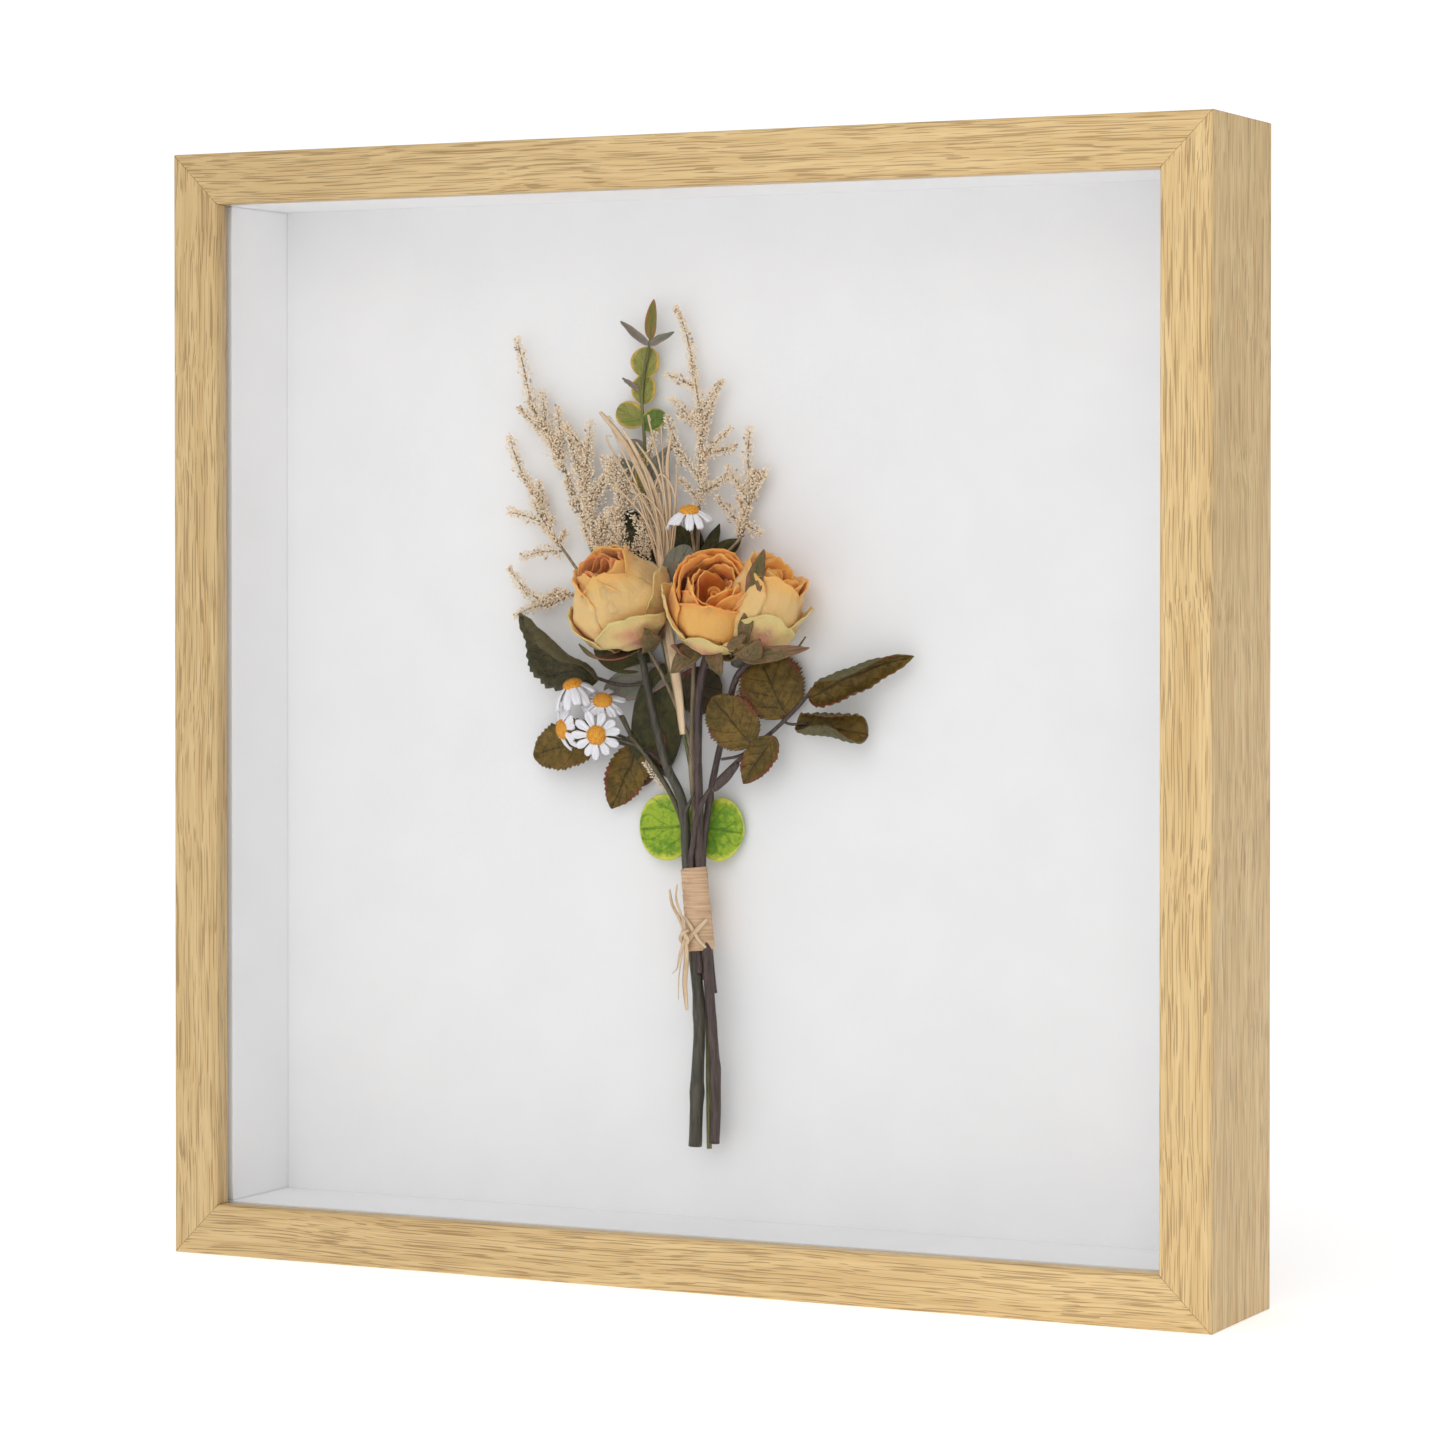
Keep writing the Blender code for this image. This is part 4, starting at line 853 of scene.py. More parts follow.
ROSE_STEMS = {
    "left": {"slot": 210, "finish": "stem_green", "radius": (2.0, 0.95), "joints": (0.09, 0.23),
             "below": [(-6.3, 32.6, 37.2), (-5.5, 32.4, 56.6), (-4.6, 32.0, 76.0)],
             "above": [(-9.7, 31.4, 137.0), (-15.4, 31.6, 149.0), (-20.6, 32.4, 166.0),
                       (-23.4, 33.2, 177.0), (-25.2, 33.2, 184.4)]},
    "centre": {"slot": 330, "finish": "stem_brown", "radius": (1.6, 1.1), "joints": (0.16, 0.33),
               "below": [(-0.2, 32.6, 38.4), (0.5, 32.4, 52.0), (-0.4, 32.2, 70.0)],
               "above": [(-4.4, 31.2, 137.0), (-4.8, 31.2, 152.0), (-4.4, 31.6, 170.0),
                         (-2.6, 32.2, 180.0), (-0.8, 32.6, 186.6)]},
    "right": {"slot": 30, "finish": "stem_brown", "radius": (1.0, 0.95), "joints": (0.45,),
              "below": [(-1.2, 34.6, 82.0)],
              "above": [(-2.6, 34.0, 137.0), (-0.6, 34.0, 147.0), (2.6, 34.0, 160.0),
                        (6.4, 33.6, 174.0), (13.6, 32.6, 180.6)]},
}


def build_rose_stems(finishes):
    for name, stem in ROSE_STEMS.items():
        shape = Shape()
        route = through_wrap(wrap_slot(stem["slot"]), stem["below"], stem["above"])
        tube(shape, route, jointed(*stem["radius"], stem["joints"]), 14, rough=0.07)
        if name == "left":
            thorn(shape, (-9.2, 31.0, 134.0), (-5.4, 30.0, 140.6))
        shape.build(f"rose_{name}_stem", [finishes[stem["finish"]]], [f"rose_stem_{name}"],
                    "rose_stem")


def thorn(shape, base, tip):
    base, tip = Vector(base), Vector(tip)
    route = [base.lerp(tip, i / 6) for i in range(7)]
    tube(shape, route, lambda share: 0.9 * (1 - share) + 0.12, 8)


def build_left_leaves(finishes):
    """The three leaves on the left rose's stem, with their stalks."""
    leaves, stalks = Shape(), Shape()
    leaf(leaves, (-39.0, 34.0, 173.6), (-65.6, 32.6, 192.2), 11.6, (0.35, -0.8, -0.5), 92.0, 0.06,
         teeth=14, wave=2.0, seed=2.0, rows=54, lean=-0.3, slot=2)
    leaf(leaves, (-39.0, 35.8, 155.8), (-61.6, 35.2, 150.2), 7.6, (0.1, -1.0, 0.25), 28.0, 0.05,
         teeth=16, wave=1.0, seed=5.0, outline=BROAD, rows=64)
    leaf(leaves, (-27.0, 36.8, 153.4), (-35.6, 36.0, 134.8), 6.6, (0.5, -1.0, 0.1), 46.0, 0.06,
         teeth=13, wave=1.0, seed=7.0, rows=54)
    for route in ([(-14.6, 31.2, 147.6), (-24.0, 35.2, 152.5), (-39.4, 35.8, 155.8)],
                  [(-13.0, 31.3, 144.2), (-21.0, 36.0, 147.5), (-27.2, 36.8, 153.6)],
                  [(-22.4, 32.7, 172.4), (-31.0, 33.8, 171.6), (-39.4, 34.0, 173.6)]):
        tube(stalks, smooth_route(route), 0.55, 8, rough=0.1)
    leaves.build("rose_left_leaves", [finishes["leaf_olive"], finishes["leaf_under"],
                                      finishes["leaf_grey"], finishes["leaf_under"]],
                 slot="dark_leaf", thick=0.3, back=1)
    stalks.build("rose_left_leaf_stalks", [finishes["stem_brown"]], slot="rose_stem")


def build_right_spray(finishes):
    """Spray of leaves that leaves the bundle at the front and reaches out to the right."""
    stalks, leaves = Shape(), Shape()
    main = through_wrap(wrap_slot(270), [(-4.0, 30.9, 88.0)],
                        [(-5.6, 29.8, 126.0), (-4.4, 29.4, 133.0), (-1.0, 29.8, 140.6),
                         (6.0, 31.6, 148.4), (14.0, 33.4, 155.4), (22.4, 34.2, 162.6),
                         (30.6, 34.4, 171.0)])
    tube(stalks, main, jointed(1.0, 0.55, (0.48, 0.8), 0.2), 10, rough=0.08)
    bract = smooth_route([(0.6, 30.0, 141.4), (4.0, 30.6, 145.0), (8.2, 31.6, 149.6)])
    tube(stalks, bract, lambda s: 0.5 + 1.1 * math.sin(math.pi * s) ** 0.8, 10, rough=0.12)
    for route in ([(21.4, 34.2, 161.8), (24.0, 34.2, 161.0), (29.0, 34.2, 161.4)],
                  [(20.8, 34.2, 161.2), (20.6, 36.0, 163.0), (19.4, 36.6, 165.6)],
                  [(13.6, 33.4, 155.2), (17.0, 32.4, 156.6), (18.4, 32.2, 156.0)],
                  [(12.6, 33.2, 154.2), (13.6, 31.2, 154.0), (11.6, 30.4, 157.0)],
                  [(3.0, 31.0, 150.6), (8.0, 32.0, 151.6), (13.0, 33.2, 154.6)]):
        tube(stalks, smooth_route(route), 0.42, 8, rough=0.1)
    leaf(leaves, (29.4, 35.0, 169.4), (61.0, 34.6, 181.6), 8.4, (-0.2, -1.0, 0.25), 128.0, 0.03,
         teeth=13, wave=2.2, seed=12.0, outline=OVATE, rows=60, lean=0.34, hook=1.5)
    leaf(leaves, (25.4, 35.0, 160.8), (47.4, 35.4, 158.4), 9.2, (0.1, -1.0, 0.25), 156.0, 0.02,
         teeth=9, wave=1.3, seed=15.0, outline=STUB, rows=54, lean=-0.06)
    leaf(leaves, (21.6, 36.4, 163.0), (11.4, 37.0, 182.0), 9.6, (0.3, -1.0, 0.15), 16.0, 0.04,
         teeth=22, wave=0.6, seed=18.0, outline=BROAD, rows=88)
    leaf(leaves, (19.6, 32.4, 157.2), (9.4, 31.8, 143.6), 5.0, (0.3, -1.0, 0.1), 46.0, 0.05,
         teeth=12, wave=0.5, seed=21.0, rows=48)
    leaf(leaves, (13.0, 30.6, 155.0), (0.6, 29.8, 168.6), 7.5, (0.3, -1.0, 0.1), 14.0, 0.03,
         teeth=20, wave=0.5, seed=25.0, outline=BROAD, rows=80)
    stalks.build("right_spray_stalks", [finishes["stem_brown"]], ["leaf_spray_right"], "rose_stem")
    leaves.build("right_spray_leaves", [finishes["leaf_olive"], finishes["leaf_under"]],
                 slot="dark_leaf", thick=0.3, back=1)


# ---------------------------------------------------------------- eucalyptus and backing leaves

def build_eucalyptus(finishes):
    """Sprig with leaves in pairs and a pointed bud at the top."""
    stem, leaves = Shape(), Shape()
    route = through_wrap(wrap_slot(90), [(-2.2, 33.6, 36.6), (-3.0, 34.6, 57.0), (-3.6, 35.3, 76.0)],
                         [(-7.6, 36.2, 135.0), (-10.6, 36.4, 152.0), (-16.0, 36.5, 172.0),
                          (-21.0, 36.5, 195.0), (-23.4, 36.4, 214.0), (-24.6, 36.2, 241.0),
                          (-25.4, 36.0, 258.0), (-22.8, 35.8, 272.0), (-22.4, 35.6, 275.0)])
    tube(stem, route, lambda s: 0.8 - 0.38 * s, 10, rough=0.06)
    leaf(leaves, (-22.6, 35.8, 273.4), (-21.2, 35.2, 285.0), 2.0, roll=60.0, bow=0.02, slot=1)
    for base, tip, half, slot, roll in (
            ((-23.0, 35.7, 271.6), (-32.2, 35.2, 278.8), 1.3, 2, 60),
            ((-23.0, 35.7, 271.6), (-14.6, 35.2, 275.2), 1.3, 2, 60),
            ((-25.2, 36.6, 262.2), (-23.9, 36.9, 271.0), 4.5, 0, 20),
            ((-25.4, 36.7, 254.4), (-24.8, 37.0, 263.0), 3.8, 0, 20),
            ((-25.4, 36.6, 248.8), (-33.8, 36.6, 253.4), 4.0, 0, 20),
            ((-25.4, 36.6, 247.4), (-18.4, 36.6, 251.6), 3.4, 6, 20),
            ((-26.0, 35.2, 258.6), (-31.4, 34.8, 262.0), 0.8, 2, 50),
            ((-24.2, 36.4, 240.6), (-32.4, 36.4, 243.2), 2.3, 2, 30),
            ((-24.2, 35.0, 229.6), (-31.6, 34.2, 238.6), 2.5, 2, 30),
            ((-24.0, 35.0, 231.0), (-14.6, 34.2, 242.4), 2.3, 2, 30),
            ((-24.0, 35.2, 226.0), (-24.6, 34.6, 240.0), 2.4, 0, 40),
            ((-22.6, 36.8, 206.0), (-31.4, 38.0, 223.0), 4.6, 3, 30),
            ((-14.6, 32.0, 200.8), (-8.2, 32.0, 212.6), 4.6, 2, 16),
            ((-15.6, 37.4, 176.0), (-38.6, 36.6, 169.0), 5.0, 2, 26),
            ((-13.0, 37.2, 166.0), (-1.4, 37.8, 174.4), 7.2, 4, 20),
            ((-17.8, 37.2, 178.0), (-22.8, 38.0, 144.6), 8.2, 3, 26),
            ((-24.0, 37.4, 178.0), (-42.0, 37.6, 184.4), 6.2, 3, 26),
            ((-20.6, 37.4, 160.0), (-28.6, 38.0, 141.8), 5.6, 4, 26)):
        leaf(leaves, base, tip, half, roll=roll, bow=0.03, slot=slot, wave=0.25, seed=half,
             outline=ROUND if slot in (0, 6) or half > 4.4 else OVATE)
    leaf(leaves, (-8.0, 37.6, 130.8), (-27.4, 38.0, 129.0), 9.8, (0.2, -1.0, 0.05), 14.0, 0.04,
         outline=ROUND, slot=5, wave=0.3, seed=31.0)
    leaf(leaves, (-7.0, 37.6, 130.4), (6.6, 38.0, 128.8), 9.4, (0.2, -1.0, 0.05), 14.0, 0.04,
         outline=ROUND, slot=5, wave=0.3, seed=33.0)
    stem.build("eucalyptus_stem", [finishes["stem_fresh"]], ["eucalyptus_sprig"], "eucalyptus")
    leaves.build("eucalyptus_leaves",
                 [finishes[name] for name in ("euc_rim", "euc_bud", "euc_sage", "leaf_dark",
                                              "leaf_brown", "leaf_green", "euc_deep")],
                 slot="eucalyptus", thick=0.35)


def build_top_leaves(finishes):
    """Dark leaves behind the roses, under the small daisy."""
    leaves = Shape()
    for base, tip, half in (((-6.8, 36.6, 205.0), (-15.8, 37.0, 219.6), 4.0),
                            ((-6.4, 36.6, 206.0), (-9.6, 36.8, 222.0), 2.6),
                            ((-5.6, 36.4, 206.0), (-0.4, 36.4, 219.0), 2.4),
                            ((-4.6, 36.6, 206.6), (6.4, 36.8, 214.6), 3.6)):
        leaf(leaves, base, tip, half, roll=36.0, bow=0.04, wave=0.4, seed=half * 3)
    leaves.build("top_leaves", [finishes["leaf_dark"]], slot="dark_leaf", thick=0.3)


# ---------------------------------------------------------------- statice

STATICE_STEM = [(-7.6, 34.2, 137.0), (-8.6, 34.3, 150.0), (-7.8, 34.4, 172.0), (-7.2, 34.4, 195.0),
                (-6.6, 35.0, 215.0), (-6.2, 35.6, 232.0), (-5.6, 36.0, 250.0)]
STATICE_BRANCHES = [
    [(-8.4, 34.3, 155.0), (-18.0, 34.3, 175.0), (-32.0, 34.4, 196.0), (-42.0, 35.2, 212.0),
     (-46.0, 35.8, 224.0), (-54.0, 36.0, 241.0), (-62.4, 36.0, 254.6)],
    [(-28.0, 34.4, 190.0), (-42.0, 34.8, 201.0), (-51.0, 35.4, 211.0), (-60.6, 35.8, 223.4)],
    [(-36.0, 34.6, 196.5), (-48.0, 35.2, 198.0), (-57.0, 35.8, 194.5)],
    [(-7.2, 34.4, 200.0), (1.0, 34.8, 209.0), (7.6, 35.2, 216.0), (10.8, 35.8, 229.0)],
    [(-38.8, 34.8, 206.5), (-40.6, 34.6, 216.0), (-44.0, 34.6, 232.0), (-49.0, 34.4, 244.0)],
]

BRACTS_PER_MM = 11.0
SPIKE_FULLNESS = 1.3
STATICE_SEED = 41

# Flower spikes: base, tip, radius
STATICE_SPIKES = [
    ((-52.0, 36.0, 236.0), (-63.4, 36.0, 256.0), 1.9),
    ((-62.0, 36.0, 253.0), (-67.4, 36.0, 274.6), 1.7),
    ((-57.0, 36.0, 245.0), (-58.4, 35.4, 259.0), 1.6),
    ((-53.0, 36.0, 239.0), (-53.6, 35.4, 254.0), 1.6),
    ((-58.0, 36.0, 246.0), (-67.0, 36.4, 254.0), 1.3),
    ((-56.0, 35.8, 218.0), (-65.0, 36.0, 234.0), 1.8),
    ((-64.4, 36.0, 232.0), (-70.0, 36.0, 245.6), 1.8),
    ((-60.0, 35.8, 224.0), (-59.4, 35.2, 232.0), 1.5),
    ((-57.0, 35.8, 219.0), (-70.2, 35.6, 223.0), 1.7),
    ((-52.0, 35.4, 211.0), (-66.0, 35.6, 209.0), 1.6),
    ((-56.0, 35.8, 195.5), (-64.6, 35.8, 199.0), 1.6),
    ((-63.6, 35.8, 197.6), (-70.2, 35.6, 206.0), 1.4),
    ((-57.0, 35.8, 195.0), (-68.0, 35.6, 191.6), 1.6),
    ((-43.4, 34.6, 229.0), (-49.6, 34.4, 249.0), 1.9),
    ((-43.6, 34.6, 229.0), (-41.6, 34.2, 249.6), 2.0),
    ((-42.4, 34.6, 222.0), (-31.0, 34.0, 239.0), 2.2),
    ((-41.0, 34.6, 214.0), (-27.0, 34.2, 226.0), 2.4),
    ((-43.0, 34.6, 226.0), (-35.0, 34.2, 236.0), 1.8),
    ((-5.8, 36.0, 246.0), (-9.0, 36.0, 266.0), 1.4),
    ((-8.6, 36.0, 263.0), (-14.4, 36.0, 282.8), 1.3),
    ((-6.2, 36.0, 246.0), (-16.2, 36.2, 256.0), 1.4),
    ((-8.4, 36.0, 259.0), (-17.8, 36.2, 263.0), 1.4),
    ((-5.8, 36.0, 245.0), (-0.8, 35.6, 257.0), 1.4),
    ((-6.0, 35.8, 237.0), (4.0, 35.4, 247.0), 1.4),
    ((-6.2, 35.6, 232.0), (-16.0, 35.2, 243.6), 1.4),
    ((10.6, 35.8, 227.0), (10.0, 35.8, 247.4), 1.8),
    ((9.8, 35.6, 224.0), (2.6, 35.2, 236.0), 1.7),
    ((10.2, 35.7, 226.0), (15.4, 35.4, 235.0), 1.4),
    ((8.4, 35.3, 218.0), (-0.6, 35.0, 227.0), 1.6),
    ((8.6, 35.4, 219.0), (14.0, 35.0, 216.0), 1.5),
    ((-6.0, 36.0, 252.0), (1.2, 35.8, 261.0), 1.3),
    ((-6.2, 36.0, 249.0), (-13.6, 36.0, 250.6), 1.2),
    ((-6.0, 35.8, 240.0), (5.2, 35.6, 241.4), 1.4),
    ((-6.2, 35.6, 228.0), (3.4, 35.2, 233.6), 1.4),
    ((-6.4, 35.6, 226.0), (-13.2, 35.4, 232.4), 1.4),
    ((-12.0, 35.6, 236.0), (-17.0, 35.2, 251.0), 1.5),
    ((-24.0, 35.2, 232.0), (-20.6, 35.0, 246.0), 1.4),
    ((5.6, 36.4, 166.0), (8.2, 36.2, 177.0), 1.1),
    ((6.0, 36.4, 168.6), (9.6, 36.2, 172.4), 1.0),
    ((-17.4, 35.4, 141.4), (-24.2, 35.2, 149.0), 1.1),
]

# Short side spikes along a line: from, to, how many, length, radius
STATICE_FRINGE = [
    ((-36.0, 34.6, 204.0), (-43.0, 34.6, 226.0), 16, 9.0, 1.5),
    ((-43.0, 34.6, 228.0), (-46.0, 34.6, 244.0), 7, 7.0, 1.4),
    ((-46.0, 35.4, 222.0), (-56.0, 36.0, 245.0), 11, 5.0, 1.2),
    ((-52.0, 35.4, 211.0), (-62.0, 35.8, 228.0), 8, 5.0, 1.2),
    ((-48.0, 35.2, 198.0), (-57.0, 35.8, 195.0), 7, 7.0, 1.3),
    ((-6.4, 35.2, 222.0), (-6.0, 36.0, 250.0), 12, 4.5, 1.1),
    ((6.0, 35.2, 214.0), (10.6, 35.8, 232.0), 11, 6.0, 1.3),
    ((-30.0, 34.4, 208.0), (-33.0, 34.2, 234.0), 16, 8.0, 1.5),
    ((-24.0, 34.4, 206.0), (-22.0, 34.4, 228.0), 10, 7.0, 1.4),
]


def flower_spike(shape, base, tip, radius, chance):
    """Spike of small bracts set round its axis, with a dark twig showing between them."""
    base, tip = Vector(base), Vector(tip)
    axis = tip - base
    length = axis.length
    axis.normalize()
    side = axis.orthogonal().normalized()
    other = axis.cross(side)
    bend = (side * chance.uniform(-1, 1) + other * chance.uniform(-1, 1)) * length * 0.05
    tube(shape, [base + axis * length * s + bend * math.sin(math.pi * s)
                 for s in (0, 0.25, 0.5, 0.75, 0.95)], lambda s: 0.34 - 0.2 * s, 5, slot=1)
    count = int(length * BRACTS_PER_MM)
    for k in range(count):
        share = (k + 0.5) / count
        angle = k * GOLDEN_ANGLE
        out = side * math.cos(angle) + other * math.sin(angle)
        lumps = 0.95 + 0.35 * math.sin(share * length * 2.1 + angle * 0.5)
        reach = SPIKE_FULLNESS * radius * lumps * (1.0 - 0.65 * share ** 3)
        root = base + axis * length * share + bend * math.sin(math.pi * share)
        root += out * reach * chance.uniform(0.05, 0.85)
        point = root + (out + axis * chance.uniform(0.1, 1.1)) * chance.uniform(0.6, 1.1)
        # About one grain in eleven takes the darker fleck finish: painted shade that stands for the dark gaps
        # between the bracts.
        shape.grain(root, point, chance.uniform(0.22, 0.42), 2 if chance.random() < 0.09 else 0)


def build_statice(finishes):
    twigs, spikes = Shape(), Shape()
    chance = random.Random(STATICE_SEED)
    tube(twigs, through_wrap(wrap_slot(), [(-3.6, 33.3, 86.0)], STATICE_STEM),
         lambda s: 0.95 - 0.45 * s, 8, rough=0.1)
    for branch in STATICE_BRANCHES:
        tube(twigs, smooth_route(branch), lambda s: 0.62 - 0.3 * s, 7, rough=0.15)
    for item in STATICE_SPIKES:
        flower_spike(spikes, *item, chance)
    for start, end, count, length, radius in STATICE_FRINGE:
        start, end = Vector(start), Vector(end)
        along = (end - start).normalized()
        for k in range(count):
            root = start.lerp(end, (k + chance.random()) / count)
            aim = along * 0.75 + Vector((chance.uniform(-1, 1), chance.uniform(-0.25, 0.1), 0.35))
            reach = length * chance.uniform(0.6, 1.1)
            flower_spike(spikes, root, root + aim.normalized() * reach,
                         radius * chance.uniform(0.8, 1.1), chance)
    daisy_back = Vector(DAISIES["top"][0]) - Vector(DAISIES["top"][1]).normalized() * 0.6
    tube(twigs, smooth_route([(-6.9, 34.8, 207.0), (-6.6, 31.8, 214.0), tuple(daisy_back)]), 0.45, 8)
    twigs.build("statice_twigs", [finishes["twig"]], ["statice_spray"], "statice")
    spikes.build("statice_spikes", [finishes["flock"], finishes["twig"], finishes["fleck"]],
                 slot="statice", flat=True)


# ---------------------------------------------------------------- daisies

# Each daisy: middle, way it faces, petal length, how far the petals fall back
DAISIES = {
    "upper_left": ((-43.8, 27.0, 171.6), (-0.15, -0.35, 0.92), 7.4, 0.62),
    "middle": ((-34.6, 28.6, 167.0), (0.25, -0.62, 0.75), 6.8, 0.30),
    "lower_left": ((-46.4, 25.8, 158.6), (-0.62, -0.74, -0.10), 7.0, 0.25),
    "lower_right": ((-34.0, 23.4, 157.2), (0.38, -0.92, 0.02), 7.6, 0.16),
    "top": ((-5.6, 27.2, 222.6), (0.1, -0.25, 0.96), 7.0, 0.55),
}


DAISY_PETALS = 11
DAISY_FLORETS = 110
DAISY_EYE_RADIUS = 2.9
DAISY_EYE_HEIGHT = 1.8
DAISY_SEED = 70


def daisy_pose(name):
    centre, facing = DAISIES[name][:2]
    axis = Vector(facing).normalized()
    turn = Vector((0.0, 0.0, 1.0)).rotation_difference(axis).to_matrix().to_4x4()
    return Matrix.Translation(Vector(centre)) @ turn


def daisy_petal(shape, pose, angle, length, half, fall, lift, seed):
    rows, columns = 12, 8
    grid = []
    for i in range(rows + 1):
        v = i / rows
        row = []
        for j in range(columns + 1):
            s = 2 * j / columns - 1
            wide = half * between([(0, 0.35), (0.3, 0.62), (0.7, 1.0), (0.92, 0.86), (1, 0.62)], v)
            notch = 0.07 * length * (v ** 6) * (1.0 - abs(math.cos(s * math.pi * 1.5)))
            out = 1.4 + (length - 1.4) * v - notch - 0.10 * length * (v ** 4) * s * s
            drop = lift - fall * length * v ** 1.7 - 0.22 * math.cos(s * math.pi * 2) * v
            drop += 0.35 * wobble((s, v * 2, seed), 1.0, seed)
            x, y = out, wide * s
            row.append(pose @ Vector((x * math.cos(angle) - y * math.sin(angle),
                                      x * math.sin(angle) + y * math.cos(angle), drop)))
        grid.append(row)
    shape.surface(grid, 0)


def daisy_eye(shape, pose):
    """Domed middle covered with small florets in a spiral."""
    rings = [(DAISY_EYE_RADIUS * math.cos(math.radians(a)),
              DAISY_EYE_HEIGHT * math.sin(math.radians(a)))
             for a in (-40, 0, 25, 50, 70, 84)]
    rows = [[pose @ Vector((r * math.cos(a), r * math.sin(a), h))
             for a in [2 * math.pi * k / 18 for k in range(18)]] for r, h in rings]
    shape.surface(rows, 0, closed=True, caps=True)
    for k in range(DAISY_FLORETS):
        share = math.sqrt((k + 0.5) / DAISY_FLORETS)
        tilt = share * math.radians(88)
        angle = k * GOLDEN_ANGLE
        out = Vector((math.sin(tilt) * math.cos(angle), math.sin(tilt) * math.sin(angle),
                      math.cos(tilt)))
        foot = Vector((out.x * DAISY_EYE_RADIUS, out.y * DAISY_EYE_RADIUS,
                       out.z * DAISY_EYE_HEIGHT)) * 0.93
        shape.grain(pose @ foot, pose @ (foot + out * 0.48), 0.17, 0)


def build_daisies(finishes):
    for index, (name, (_, _, length, fall)) in enumerate(DAISIES.items()):
        pose = daisy_pose(name)
        chance = random.Random(DAISY_SEED + index)
        petals, eye = Shape(), Shape()
        for k in range(DAISY_PETALS):
            angle = 2 * math.pi * (k + chance.uniform(-0.2, 0.2)) / DAISY_PETALS
            daisy_petal(petals, pose, angle, length * chance.uniform(0.88, 1.04),
                        chance.uniform(1.15, 1.5), fall * chance.uniform(0.6, 1.4),
                        0.3 * (k % 2), k + index * 13.0)
        daisy_eye(eye, pose)
        petals.build(f"daisy_{name}_petals", [finishes["daisy_petal"]], [f"daisy_{name}"], "daisy",
                     thick=0.22)
        eye.build(f"daisy_{name}_eye", [finishes["daisy_eye"]], slot="daisy")


def build_daisy_stems(finishes):
    """Stem that branches to the four lower daisies."""
    shape = Shape()
    tube(shape, through_wrap(wrap_slot(150), [(-5.8, 34.0, 90.0)],
                             [(-10.6, 34.0, 130.0), (-15.2, 33.6, 140.6), (-22.4, 32.6, 151.0),
                              (-27.4, 31.4, 157.0)]), lambda s: 1.0 - 0.3 * s, 10, rough=0.08)
    for name, points in {
            "upper_left": [(-26.6, 31.6, 156.2), (-32.0, 31.2, 164.6), (-39.0, 30.6, 167.8)],
            "middle": [(-26.4, 31.6, 156.0), (-29.6, 31.6, 162.6), (-32.8, 31.2, 164.8)],
            "lower_left": [(-25.4, 31.8, 155.0), (-36.0, 30.6, 158.6), (-42.0, 29.4, 159.2)],
            "lower_right": [(-24.4, 32.0, 153.8), (-30.6, 29.6, 156.0)]}.items():
        centre, facing = Vector(DAISIES[name][0]), Vector(DAISIES[name][1]).normalized()
        route = smooth_route([*points, centre - facing * 3.2, centre - facing * 0.8])
        tube(shape, route, lambda s: 0.5 + 0.4 * max(s - 0.8, 0) * 5 * 0.6, 8, rough=0.08)
    shape.build("daisy_stalks", [finishes["stem_olive"]], ["daisy_stems"], "rose_stem")


# ---------------------------------------------------------------- raffia

BAND_SIDES = 36
BAND_STEPS = 120
BAND_TURNS = 6.5
BAND_RADIUS = 3.78


